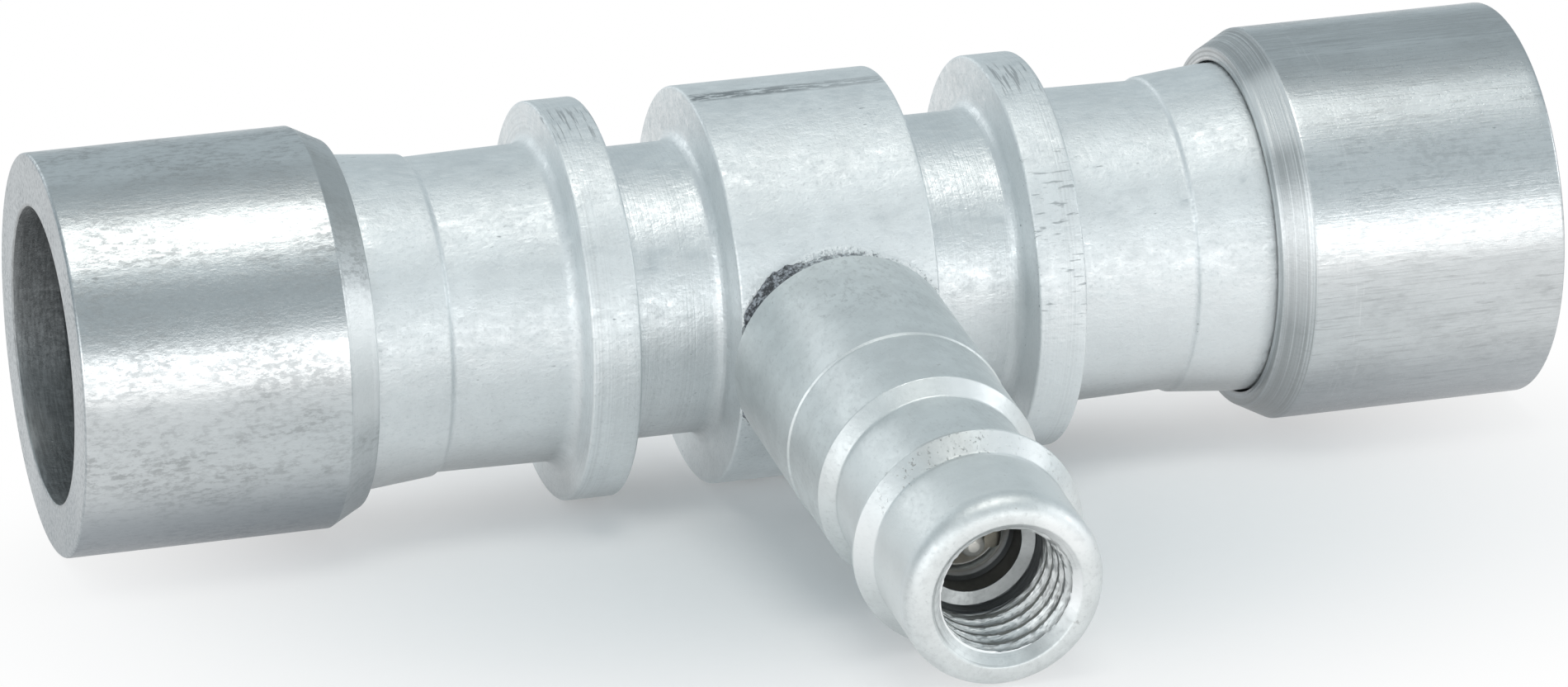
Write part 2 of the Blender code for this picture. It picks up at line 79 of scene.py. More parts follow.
# The port: local Z of its pieces points out of the mouth, against the press of the pin.
PRESS = next(joint for joint in frame["joints"] if joint["name"] == "valve_pin_press")
PRESS_AXIS = Vector(PRESS["axis"]).normalized()
PORT_TILT = atan2(PRESS_AXIS.z, PRESS_AXIS.y)
PORT_PLACE = Matrix.Translation(RUN_CENTRE) @ Matrix.Rotation(pi / 2 + PORT_TILT, 4, "X")

RUN_SEGMENTS = 256
PORT_SEGMENTS = 192
CORE_SEGMENTS = 64
ROUND_STEPS = 6


def size(name, description, default):
    """A length whose default is given in millimetres."""
    return FloatProperty(
        name=name, description=description, default=default * MM,
        precision=5, subtype="DISTANCE", unit="LENGTH",
    )


def tint(name, description, default):
    return FloatVectorProperty(
        name=name, description=description, default=default,
        size=3, min=0.0, max=1.0, subtype="COLOR",
    )


def share(name, description, default):
    return FloatProperty(
        name=name, description=description, default=default,
        min=0.0, max=1.0, subtype="FACTOR",
    )


class CouplingRunSettings(bpy.types.PropertyGroup):
    """Sizes of the body and the rings, from the middle and the axis of the run."""

    outer_radius: size("Outer radius", "Radius of the collar, flanges and rings", RUN_RADIUS / MM)
    collar_face: size("Collar face", "Half the length of the collar", 5.7)
    neck_radius: size("Neck radius", "Radius between the collar and a flange", 8.2)
    flange_inner: size("Flange inner face", "Place of the face next to the neck", 11.4)
    flange_outer: size("Flange outer face", "Place of the face next to the sleeve", 14.2)
    sleeve_radius: size("Sleeve radius", "Smallest radius of the sleeve", 8.8)
    sleeve_taper: size("Sleeve taper", "Rise of the sleeve towards the flange", 0.12)
    sleeve_step: size("Sleeve step", "Place where the land begins", 21.4)
    land_step: size("Land step", "Height and length of the step to the land", 0.2)
    land_rise: size("Land rise", "Rise of the land along its taper", 0.35)
    land_taper: size("Land taper", "Length of the taper of the land", 3.9)
    sleeve_end: size("Sleeve end", "Place of the end of the sleeve", 27.8)
    lead_in: size("Lead-in", "Chamfer at the end of the sleeve", 0.3)
    socket_radius: size("Socket radius", "Radius of the hole for the tube", 8.1)
    tube_stop: size("Tube stop", "Place of the step that stops the tube", 12.0)
    bore_radius: size("Bore radius", "Radius of the passage through the body", 6.5)
    root_fillet: size("Root fillet", "Rounding at the root of collar and flanges", 0.8)
    edge_break: size("Edge break", "Rounding of the outer edges", 0.18)
    spigot_seat: size("Spigot seat", "Radius of the seat in the collar", 5.1)
    spigot_floor: size("Spigot floor", "Depth of the seat, from the axis", 8.2)
    cross_bore: size("Cross bore", "Radius of the hole to the port", 2.5)
    ring_length: size("Ring length", "Length of a ring", (RING_HIGH.x - RING_LOW.x) / MM)
    ring_tip: size("Ring tip", "Place of the inner end of a ring", -RING_HIGH.x / MM)
    ring_chamber: size("Ring chamber", "Radius inside the ring over the land", 9.48)
    ring_tip_wall: size("Ring tip wall", "Wall of the ring at its inner end", 0.77)
    ring_cone: size("Ring cone", "Length of the cone of a ring", 1.8)
    ring_lip: size("Ring lip", "Length of the narrow bore of a ring", 2.95)
    ring_bore: size("Ring bore", "Radius of the narrow bore of a ring", 8.25)
    ring_edge: size("Ring edge", "Rounding of the outer edges of a ring", 0.2)
    groove_depth: size("Groove depth", "Depth of the tool marks on the cones", 0.022)
    groove_count: IntProperty(
        name="Groove count", description="Tool marks on the cone of a ring", default=11, min=1,
    )


class CouplingPortSettings(bpy.types.PropertyGroup):
    """Sizes of the service port, from the axis of the run along the port."""

    spigot_end: size("Spigot end", "Inner end of the port", 8.3)
    spigot_radius: size("Spigot radius", "Radius of the spigot in the collar", 5.0)
    shoulder: size("Shoulder", "Place of the shoulder on the collar", 11.5)
    base_radius: size("Base radius", "Radius of the base", 6.3)
    line_end: size("Line end", "Outer end of the base, at the fine line", 21.9)
    line_width: size("Line width", "Width of the fine line", 0.1)
    body_radius: size("Body radius", "Radius between the line and the first cone", 6.2)
    body_end: size("Body end", "Place of the first cone", 27.3)
    neck_start: size("Neck start", "Place where the neck begins", 28.1)
    neck_radius: size("Neck radius", "Radius of the neck", 5.42)
    neck_end: size("Neck end", "Place where the neck ends", 33.0)
    lip_back: size("Lip back", "Back edge of the lip", 34.1)
    lip_front: size("Lip front", "Front edge of the lip", 34.3)
    lip_radius: size("Lip radius", "Radius of the lip", 6.35)
    nose_start: size("Nose start", "Place where the nose begins", 35.3)
    nose_radius: size("Nose radius", "Radius of the nose", 5.5)
    nose_round: size("Nose round", "Rounding of the front edge", 1.1)
    front: size("Front", "Place of the front face", 41.2)
    mouth_radius: size("Mouth radius", "Radius of the mouth", 4.17)
    cap_start: size("Thread start", "Place where the bore of the thread begins", 40.6)
    cap_radius: size("Thread radius", "Radius inside the crests of the thread", 3.47)
    thread_end: size("Thread end", "Place where the thread runs out", 35.9)
    thread_pitch: size("Thread pitch", "Distance between turns of the thread", 1.0)
    thread_depth: size("Thread depth", "Depth of the thread", 0.5)
    ledge: size("Ledge", "Place of the ledge under the thread", 35.25)
    ledge_rise: size("Ledge rise", "Slope of the ledge", 0.18)
    entry_radius: size("Entry radius", "Radius above the core", 2.7)
    entry_end: size("Entry end", "Place of the cone above the core", 33.77)
    core_start: size("Core start", "Place where the bore of the core begins", 33.37)
    core_radius: size("Core radius", "Radius of the bore of the core", 2.35)
    seat_start: size("Seat start", "Wide end of the conical seat", 28.27)
    seat_end: size("Seat end", "Narrow end of the conical seat", 27.27)
    passage_radius: size("Passage radius", "Radius of the passage", 1.95)
    bead_inner: size("Bead inner reach", "Reach of the braze where it stays in the wedge", 5.52)
    bead_radius: size("Bead outer reach", "Reach of the braze where it swells out", 6.28)
    bead_gap: size("Bead gap", "Gap between the braze and its neighbours", 0.03)
    bead_roughness: size("Bead roughness", "Height of the lumps on the braze", 0.11)


class CouplingCoreSettings(bpy.types.PropertyGroup):
    """Sizes of the valve core, from the axis of the run along the port."""

    plug_radius: size("Plug radius", "Radius of the plug and of the barrel's head", 2.25)
    plug_bottom: size("Plug bottom", "Inner end of the plug", 29.72)
    plug_top: size("Plug top", "Top of the plug, under its ears", 32.97)
    plug_bore: size("Plug bore", "Radius of the hole in the plug", 0.75)
    plug_pitch: size("Plug pitch", "Distance between turns of the plug's thread", 0.7)
    ear_top: size("Ear top", "Top of the ears", 34.37)
    ear_radius: size("Ear radius", "Reach of the ears from the axis", 1.9)
    ear_width: size("Ear width", "Width of an ear", 1.2)
    barrel_top: size("Barrel top", "Top of the barrel", 29.67)
    barrel_bottom: size("Barrel bottom", "Lower end of the barrel", 24.52)
    barrel_skirt: size("Barrel skirt", "Radius of the barrel's skirt", 1.65)
    barrel_groove: size("Barrel groove", "Radius under the gasket", 1.46)
    barrel_floor: size("Barrel floor", "Place of the floor under the spring", 25.22)
    chamber: size("Spring chamber", "Radius of the hole for the spring", 1.1)
    stem_hole: size("Stem hole", "Radius of the hole for the stem", 0.6)
    gasket_top: size("Gasket top", "Top of the gasket", 28.32)
    gasket_bottom: size("Gasket bottom", "Lower end of the gasket", 27.07)
    gasket_inner: size("Gasket inner radius", "Radius of the hole in the gasket", 1.51)
    gasket_outer: size("Gasket outer radius", "Radius of the gasket's lower end", 1.85)
    pin_tip: size("Pin tip", "Top of the pin", 35.37)
    pin_head: size("Pin head", "Radius of the head of the pin", 0.68)
    pin_head_length: size("Pin head length", "Length of the head of the pin", 0.75)
    pin_stem: size("Pin stem", "Radius of the stem", 0.45)
    pin_collar: size("Pin collar", "Radius of the collar that holds the spring", 0.95)
    pin_collar_top: size("Pin collar top", "Top of that collar", 29.37)
    pin_collar_bottom: size("Pin collar bottom", "Lower end of that collar", 28.97)
    pin_foot: size("Pin foot", "Radius of the riveted foot", 0.8)
    pin_foot_top: size("Pin foot top", "Top of the foot", 23.32)
    pin_foot_bottom: size("Pin foot bottom", "Lower end of the pin", 22.92)
    seal_top: size("Seal top", "Top of the poppet seal", 24.47)
    seal_bottom: size("Seal bottom", "Lower end of the poppet seal", 23.92)
    seal_radius: size("Seal radius", "Radius of the poppet seal", 1.25)
    seal_hole: size("Seal hole", "Radius of the hole in seal and cup", 0.5)
    cup_radius: size("Cup radius", "Radius of the poppet cup", 1.5)
    cup_wall: size("Cup wall", "Wall of the poppet cup", 0.2)
    cup_rim: size("Cup rim", "Top of the poppet cup", 24.22)
    cup_floor: size("Cup floor", "Floor of the poppet cup", 23.87)
    cup_bottom: size("Cup bottom", "Lower end of the poppet cup", 23.37)
    spring_radius: size("Spring radius", "Radius of the spring's coil", 0.82)
    spring_wire: size("Spring wire", "Radius of the spring's wire", 0.14)
    spring_gap: size("Spring gap", "Gap at the ends of the spring", 0.05)
    spring_turns: IntProperty(
        name="Spring turns", description="Turns of the spring", default=4, min=2,
    )


class CouplingFinishSettings(bpy.types.PropertyGroup):
    """Colours and roughness of the finishes."""

    satin: tint("Satin aluminium", "Colour of the body", (0.826, 0.857, 0.866))
    satin_roughness: share("Satin roughness", "Roughness of the body", 0.55)
    drawn: tint("Drawn aluminium", "Colour of the rings", (0.67, 0.70, 0.71))
    drawn_roughness: share("Drawn roughness", "Roughness of the rings", 0.33)
    port: tint("Port aluminium", "Colour of the service port", (0.785, 0.815, 0.815))
    port_roughness: share("Port roughness", "Roughness of the service port", 0.46)
    braze: tint("Braze", "Colour of the clean braze", (0.70, 0.74, 0.76))
    flux: tint("Flux", "Colour of the burnt residue on the braze", (0.19, 0.20, 0.215))
    brass: tint("Brass", "Colour of plug, barrel and cup", (0.40, 0.37, 0.31))
    nickel: tint("Nickel", "Colour of the pin", (0.90, 0.88, 0.82))
    steel: tint("Steel", "Colour of the spring", (0.60, 0.61, 0.63))
    gasket: tint("Gasket", "Colour of the gasket", (0.84, 0.83, 0.79))
    rubber: tint("Rubber", "Colour of the poppet seal", (0.022, 0.022, 0.023))


class CouplingStageSettings(bpy.types.PropertyGroup):
    """Floor, light and camera."""

    floor: tint("Floor", "Colour of the floor", (0.92, 0.925, 0.93))
    sky: tint("Room light", "Colour of the light from all round", (0.495, 0.56, 0.59))
    camera_place: FloatVectorProperty(
        name="Camera place", description="Where the camera stands",
        default=(-0.125723, -0.428214, 0.151365), subtype="TRANSLATION", unit="LENGTH",
    )
    camera_turn: FloatVectorProperty(
        name="Camera turn", description="Rotation of the camera",
        default=(radians(72.6131), radians(1.4868), radians(-16.2757)), subtype="EULER",
    )
    camera_lens: FloatProperty(
        name="Camera lens", description="Focal length in millimetres, for a 36 mm sensor",
        default=196.8, unit="CAMERA",
    )


# Shapes


def fillet(before, corner, after, radius, steps=ROUND_STEPS):
    """Points of the arc that rounds one corner of an outline."""
    before, corner, after = Vector(before), Vector(corner), Vector(after)
    to_before = (before - corner).normalized()
    to_after = (after - corner).normalized()
    half = to_before.angle(to_after) / 2
    centre = corner + (to_before + to_after).normalized() * (radius / sin(half))
    first = corner + to_before * (radius / tan(half)) - centre
    last = corner + to_after * (radius / tan(half)) - centre
    turn = -first.angle_signed(last)
    arc = []
    for step in range(steps + 1):
        angle = turn * step / steps
        arc.append((
            centre.x + first.x * cos(angle) - first.y * sin(angle),
            centre.y + first.x * sin(angle) + first.y * cos(angle),
        ))
    return arc


def rounded(corners):
    """Outline of (radius, place) points from corners, each with an optional rounding radius."""
    outline = []
    for index, corner in enumerate(corners):
        if len(corner) < 3:
            outline.append(tuple(corner))
            continue
        before = corners[index - 1][:2]
        after = corners[(index + 1) % len(corners)][:2]
        outline.extend(fillet(before, corner[:2], after, corner[2]))
    return outline


def spaced(outline, step):
    """The outline with points added, so that none of its straight parts is longer than the step."""
    points = []
    for one, other in zip(outline, outline[1:] + outline[:1]):
        count = max(1, round((Vector(other) - Vector(one)).length / step))
        points.extend(tuple(Vector(one).lerp(Vector(other), n / count)) for n in range(count))
    return points


def mirrored(corners):
    return [(radius, -place, *rounding) for radius, place, *rounding in reversed(corners)]


def grid_mesh(name, rows, wrap):
    """A mesh from rows of points, each row a closed ring of the same count or a single point."""
    count = max(len(row) for row in rows)
    points, numbers = [], []
    for row in rows:
        start = len(points)
        points.extend(row)
        numbers.append([start] * count if len(row) == 1 else list(range(start, start + count)))
    faces = []
    pairs = zip(numbers, numbers[1:] + numbers[:1]) if wrap else zip(numbers, numbers[1:])
    for low, high in pairs:
        for one in range(count):
            other = (one + 1) % count
            face = dict.fromkeys((low[one], low[other], high[other], high[one]))
            faces.append(tuple(face))
    mesh = bpy.data.meshes.new(name)
    mesh.from_pydata(points, [], faces)
    return mesh


def smooth(mesh, sharp_angle=32):
    """Faces the mesh outwards and shades it smooth, apart from its sharp edges."""
    bm = bmesh.new()
    bm.from_mesh(mesh)
    bmesh.ops.recalc_face_normals(bm, faces=bm.faces)
    bm.to_mesh(mesh)
    bm.free()
    mesh.shade_smooth()
    mesh.set_sharp_from_angle(angle=radians(sharp_angle))


def turned_mesh(name, outline, segments, form=None):
    """A mesh turned about Z from an outline, which is closed unless it ends on the axis.

    form(radius, place, angles) gives the radius at each angle where it isn't the same all round.
    """
    angles = np.linspace(0.0, tau, segments, endpoint=False)
    rows = []
    for radius, place in outline:
        if radius < 1e-9:
            rows.append([(0.0, 0.0, place)])
            continue
        reach = form(radius, place, angles) if form else np.full(segments, radius)
        rows.append([
            (r * cos(a), r * sin(a), place) for r, a in zip(reach.tolist(), angles.tolist())
        ])
    return grid_mesh(name, rows, wrap=len(rows[0]) > 1)


def add_piece(name, mesh, place, material, slot, body, *nodes):
    """Puts a mesh in the scene as a piece that rides on a body and stands for CAD nodes."""
    smooth(mesh)
    piece = bpy.data.objects.new(name, mesh)
    bpy.context.scene.collection.objects.link(piece)
    piece.matrix_world = place
    mesh.materials.clear()
    mesh.materials.append(material)
    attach(piece, body)
    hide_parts(*nodes)
    return piece


def add_core_piece(name, corners, material, slot, body, node):
    """Puts a piece of the valve core in the scene, turned from the corners of its outline."""
    mesh = turned_mesh(name, rounded(corners), CORE_SEGMENTS)
    return add_piece(name, mesh, PORT_PLACE, material, slot, body, node)


def cut_away(mesh, cutter_mesh, cutter_place):
    """The mesh without the cutter's shape; the cutter's place is in the frame of the mesh."""
    piece = bpy.data.objects.new("being_cut", mesh)
    cutter = bpy.data.objects.new("cutter", cutter_mesh)
    for each in (piece, cutter):
        bpy.context.scene.collection.objects.link(each)
    smooth(mesh)
    smooth(cutter_mesh)
    cutter.matrix_world = cutter_place
    boolean = piece.modifiers.new("cut", "BOOLEAN")
    boolean.operation = "DIFFERENCE"
    boolean.solver = "EXACT"
    boolean.object = cutter
    view = bpy.context.evaluated_depsgraph_get()
    result = bpy.data.meshes.new_from_object(piece.evaluated_get(view))
    result.name = mesh.name
    for each in (piece, cutter):
        bpy.data.objects.remove(each)
    return result


def body_outline(run):
    """Corners of the whole coupling body, outside and then inside."""
    root = run.root_fillet
    edge = run.edge_break
    step = run.sleeve_step + run.land_step
    land = run.sleeve_radius + run.land_step + run.land_rise
    outside = [
        (run.outer_radius, run.collar_face, edge),
        (run.neck_radius, run.collar_face, root),
        (run.neck_radius, run.flange_inner, root),
        (run.outer_radius, run.flange_inner, edge),
        (run.outer_radius, run.flange_outer, edge),
        (run.sleeve_radius + run.sleeve_taper, run.flange_outer, root),
        (run.sleeve_radius, run.sleeve_step, 0.4 * MM),
        (run.sleeve_radius + run.land_step, step, 0.3 * MM),
        (land, run.sleeve_step + run.land_taper, 4.0 * MM),
        (land, run.sleeve_end - run.lead_in, 0.1 * MM),
        (land - run.lead_in, run.sleeve_end, 0.05 * MM),
    ]
    inside = [
        (run.socket_radius + run.lead_in, run.sleeve_end, 0.05 * MM),
        (run.socket_radius, run.sleeve_end - run.lead_in),
        (run.socket_radius, run.tube_stop),
        (run.bore_radius, run.tube_stop, 0.1 * MM),
    ]
    return mirrored(outside) + outside + inside + mirrored(inside)


def ring_outline(run):
    """Corners of a compression ring, from its inner end at 0, with tool marks on the cone."""
    tip = run.ring_chamber + run.ring_tip_wall
    face = run.ring_length
    back = face - run.ring_lip
    cone = Vector((run.outer_radius - tip, run.ring_cone))
    outward = Vector((cone.y, -cone.x)).normalized() * run.groove_depth
    marks = []
    count = 2 * run.groove_count
    for number in range(4, count - 1):
        point = Vector((tip, 0.0)) + cone * (number / count)
        if number % 2:
            point -= outward
        marks.append((point.x, point.y))
    return [
        (run.ring_chamber, 0.0, 0.05 * MM),
        (tip, 0.0, run.ring_edge),
        *marks,
        (run.outer_radius, run.ring_cone, 0.12 * MM),
        (run.outer_radius, face, run.ring_edge),
        (run.ring_bore, face, 0.1 * MM),
        (run.ring_bore, back, 0.1 * MM),
        (run.ring_chamber, back, 0.3 * MM),
    ]


def port_outline(port):
    """Corners of the service port: outside from its inner end to the mouth, then back inside."""
    edge = 0.1 * MM
    return [
        (port.passage_radius, port.spigot_end, edge),
        (port.spigot_radius, port.spigot_end, edge),
        (port.spigot_radius, port.shoulder, edge),
        (port.base_radius, port.shoulder, 0.2 * MM),
        (port.base_radius, port.line_end - port.line_width, 0.03 * MM),
        (port.body_radius, port.line_end, 0.03 * MM),
        (port.body_radius, port.body_end, 0.12 * MM),
        (port.neck_radius, port.neck_start, 0.25 * MM),
        (port.neck_radius, port.neck_end, 0.35 * MM),
        (port.lip_radius, port.lip_back, 0.08 * MM),
        (port.lip_radius, port.lip_front, 0.08 * MM),
        (port.nose_radius, port.nose_start, 0.3 * MM),
        (port.nose_radius, port.front, port.nose_round),
        (port.mouth_radius, port.front, 0.18 * MM),
        (port.cap_radius, port.cap_start),
        (port.cap_radius, port.ledge, 0.05 * MM),
        (port.entry_radius, port.ledge - port.ledge_rise, 0.05 * MM),
        (port.entry_radius, port.entry_end, 0.05 * MM),
        (port.core_radius, port.core_start, 0.12 * MM),
        (port.core_radius, port.seat_start),
        (port.passage_radius, port.seat_end, 0.1 * MM),
    ]


def port_mesh(port):
    """The service port with its cut thread, whose crests are a little ragged."""
    rows_per_turn = 15
    near = 1e-8
    pitch, inner = port.thread_pitch, port.cap_radius
    outline = rounded(port_outline(port))
    first = next(
        n for n, (radius, place) in enumerate(outline)
        if abs(radius - inner) < near and abs(place - port.cap_start) < near
    )
    step = pitch / rows_per_turn
    chamfer = Vector(outline[first - 1])
    wall = Vector(outline[first])
    count = round((chamfer - wall).length / step)
    lead = [tuple(chamfer.lerp(wall, n / count)) for n in range(1, count)]
    count = round((port.cap_start - port.thread_end) / step) + rows_per_turn
    bore = [(inner, port.cap_start - step * n) for n in range(count)]
    outline = outline[:first] + lead + bore + outline[first + 1:]

    def form(radius, place, angles):
        in_bore = inner - near <= radius <= port.mouth_radius
        if not in_bore or not port.thread_end <= place <= port.front:
            return np.full(len(angles), radius)
        turns = place / pitch
        turn = (turns - angles / tau) % 1.0
        ragged = 0.05 * np.sin(23 * angles + 9 * turns) + 0.04 * np.sin(47 * angles - 23 * turns)
        height = np.clip((0.5 - np.abs(turn - 0.5)) * 3.2 - 0.4 + ragged, 0.0, 1.0)
        fade = min(1.0, max(0.0, (place - port.thread_end) / pitch))
        return np.maximum(radius, inner + port.thread_depth * height * fade)

    return turned_mesh("service_port_turned", outline, PORT_SEGMENTS, form)


def lumps(point, scale, seed):
    """Smooth lumps between about -1 and 1 at a point."""
    shifted = Vector(point) * scale + Vector((seed * 7.3, seed * 3.1, seed * 5.7))
    return noise.fractal(shifted, 0.8, 2.1, 4)


def window(angle, rise, full, fall, gone):
    """0 before rise and after gone, 1 from full to fall; all in degrees."""
    degrees = angle * 180 / pi
    up = min(1.0, max(0.0, (degrees - rise) / (full - rise)))
    down = min(1.0, max(0.0, (gone - degrees) / (gone - fall)))
    return up * up * (3.0 - 2.0 * up) * down * down * (3.0 - 2.0 * down)


def braze_mesh(run, port):
    """The braze in the wedge between the shoulder and the round collar, with a lumpy outer skin.

    It swells out of the wedge at the upper left and the lower left, and less at the upper right.
    """
    segments, steps = 320, 16
    collar_margin, shoulder_margin = 0.12 * MM, 0.15 * MM
    spread_height, hollow = 0.14 * MM, 0.06 * MM
    swells = (
        (1.0, (100, 134, 164, 176)),
        (1.1, (198, 208, 218, 230)),
        (0.46, (8, 22, 56, 72)),
    )
    gap = port.bead_gap
    inner = port.spigot_radius + gap
    under = port.shoulder - gap

    def on_collar(reach, angle):
        return sqrt(run.outer_radius ** 2 - (reach * sin(angle)) ** 2) + gap

    rows = []
    for number in range(segments):
        angle = tau * number / segments
        way = (cos(angle), sin(angle))
        limit = (run.collar_face - collar_margin) / max(abs(way[0]), 1e-6)
        swell = sum(height * window(angle, *span) for height, span in swells)
        spread = spread_height * lumps((way[0], way[1], 0.0), 9.0, 2)
        foot = port.bead_inner + (port.bead_radius - port.bead_inner) * swell + spread
        foot = min(foot, limit)
        top = min(foot, port.base_radius - shoulder_margin)
        ring = []
        for step in range(steps + 1):
            part = step / steps
            reach = top + (foot - top) * part
            place = under + (on_collar(foot, angle) - under) * part
            sag = 4.0 * part * (1.0 - part)
            rough = lumps((reach * way[0], reach * way[1], place), 2600.0, 1)
            reach += sag * (port.bead_roughness * rough - hollow)
            ring.append((reach * way[0], reach * way[1], place))
        for part in (0.75, 0.5, 0.25, 0.0):
            reach = inner + (foot - inner) * part
            ring.append((reach * way[0], reach * way[1], on_collar(reach, angle)))
        ring.append((inner * way[0], inner * way[1], under))
        rows.append(ring)
    return grid_mesh("braze_bead", rows, wrap=True)


def plug_mesh(core):
    """The plug of the core: a threaded body and two ears that a key turns."""
    rows_per_turn = 8
    edge = 0.12 * MM
    thread_depth = 0.22 * MM
    radius = core.plug_radius
    step = core.plug_pitch / rows_per_turn
    count = int((core.plug_top - core.plug_bottom - 2 * edge) / step)
    skin = [(radius, core.plug_bottom + edge + step * n) for n in range(count + 1)]
    outline = [
        (core.plug_bore, core.plug_bottom),
        (radius - edge, core.plug_bottom),
        *skin,
        (radius - edge, core.plug_top),
        (core.ear_radius, core.plug_top),
        *fillet(
            (core.ear_radius, core.plug_top), (core.ear_radius, core.ear_top),
            (core.plug_bore, core.ear_top), 0.4 * MM,
        ),
        *fillet(
            (core.ear_radius, core.ear_top), (core.plug_bore, core.ear_top),
            (core.plug_bore, core.plug_top), 0.2 * MM,
        ),
    ]

    def form(reach, place, angles):
        if reach < radius - 1e-8:
            return np.full(len(angles), reach)
        turn = (place / core.plug_pitch - angles / tau) % 1.0
        return reach - thread_depth * np.clip(2.0 - np.abs(turn - 0.5) * 6.0, 0.0, 1.0)

    mesh = turned_mesh("core_plug_turned", outline, CORE_SEGMENTS, form)
    bm = bmesh.new()
    reach = 2 * core.ear_radius
    for side in (-1, 1):
        made = bmesh.ops.create_cube(bm, size=1.0)
        for vert in made["verts"]:
            vert.co.x *= 2 * reach
            vert.co.y = vert.co.y * reach + side * (core.ear_width + reach) / 2
            vert.co.z = core.plug_top + (vert.co.z + 0.5) * 2 * (core.ear_top - core.plug_top)
    cutter = bpy.data.meshes.new("ear_flats")
    bm.to_mesh(cutter)
    bm.free()
    return cut_away(mesh, cutter, Matrix.Identity(4))


def pin_outline(core):
    """Corners of the pin, from its foot to its domed head."""
    head = core.pin_head
    under = core.pin_tip - core.pin_head_length
    return [
        (0.0, core.pin_foot_bottom),
        (core.pin_foot, core.pin_foot_bottom, 0.12 * MM),
        (core.pin_foot, core.pin_foot_top, 0.05 * MM),
        (core.pin_stem, core.pin_foot_top),
        (core.pin_stem, core.pin_collar_bottom),
        (core.pin_collar, core.pin_collar_bottom, 0.05 * MM),
        (core.pin_collar, core.pin_collar_top, 0.1 * MM),
        (core.pin_stem, core.pin_collar_top),
        (core.pin_stem, under),
        (head, under, 0.06 * MM),
        (head, core.pin_tip - 0.22 * MM, 0.26 * MM),
        (0.3 * MM, core.pin_tip - 0.02 * MM, 0.2 * MM),
        (0.0, core.pin_tip),
    ]


def barrel_outline(core):
    edge = 0.06 * MM
    return [
        (core.stem_hole, core.barrel_bottom),
        (core.barrel_skirt, core.barrel_bottom, edge),
        (core.barrel_skirt, core.gasket_bottom - 0.05 * MM, edge),
        (core.barrel_groove, core.gasket_bottom - 0.05 * MM),
        (core.barrel_groove, core.gasket_top + 0.05 * MM),
        (core.plug_radius, core.gasket_top + 0.05 * MM, edge),
        (core.plug_radius, core.barrel_top, edge),
        (core.chamber, core.barrel_top, edge),
        (core.chamber, core.barrel_floor),
        (core.stem_hole, core.barrel_floor),
    ]


def gasket_outline(port, core):
    edge = 0.06 * MM
    return [
        (core.gasket_inner, core.gasket_bottom, edge),
        (core.gasket_outer, core.gasket_bottom, edge),
        (core.gasket_outer, port.seat_end),
        (core.plug_radius, port.seat_start),
        (core.plug_radius, core.gasket_top, 0.03 * MM),
        (core.gasket_inner, core.gasket_top, edge),
    ]


def cup_outline(core):
    edge = 0.05 * MM
    inside = core.cup_radius - core.cup_wall
    return [
        (core.seal_hole, core.cup_bottom),
        (core.cup_radius, core.cup_bottom, 0.18 * MM),
        (core.cup_radius, core.cup_rim, edge),
        (inside, core.cup_rim, edge),
        (inside, core.cup_floor),
        (core.seal_hole, core.cup_floor),
    ]


def seal_outline(core):
    edge = 0.08 * MM
    return [
        (core.seal_hole, core.seal_bottom, edge),
        (core.seal_radius, core.seal_bottom, edge),
        (core.seal_radius, core.seal_top, edge),
        (core.seal_hole, core.seal_top, edge),
    ]


def spring_mesh(core):
    """A coil spring of round wire, closed at its two ends."""
    low = core.barrel_floor + core.spring_gap + core.spring_wire
    high = core.pin_collar_bottom - core.spring_gap - core.spring_wire
    per_turn, sides = 40, 10
    count = core.spring_turns * per_turn
    rows = []
    for step in range(count + 1):
        angle = tau * step / per_turn
        place = low + (high - low) * step / count
        ring = []
        for side in range(sides):
            lean = tau * side / sides
            reach = core.spring_radius + core.spring_wire * cos(lean)
            ring.append((
                reach * cos(angle), reach * sin(angle), place + core.spring_wire * sin(lean),
            ))
        rows.append(ring)
    first, last = ([tuple(np.mean(ring, axis=0))] for ring in (rows[0], rows[-1]))
    return grid_mesh("valve_spring_coil", [first, *rows, last], wrap=False)


# Finishes


def scaled(colour, factor):
    return tuple(channel * factor for channel in colour)


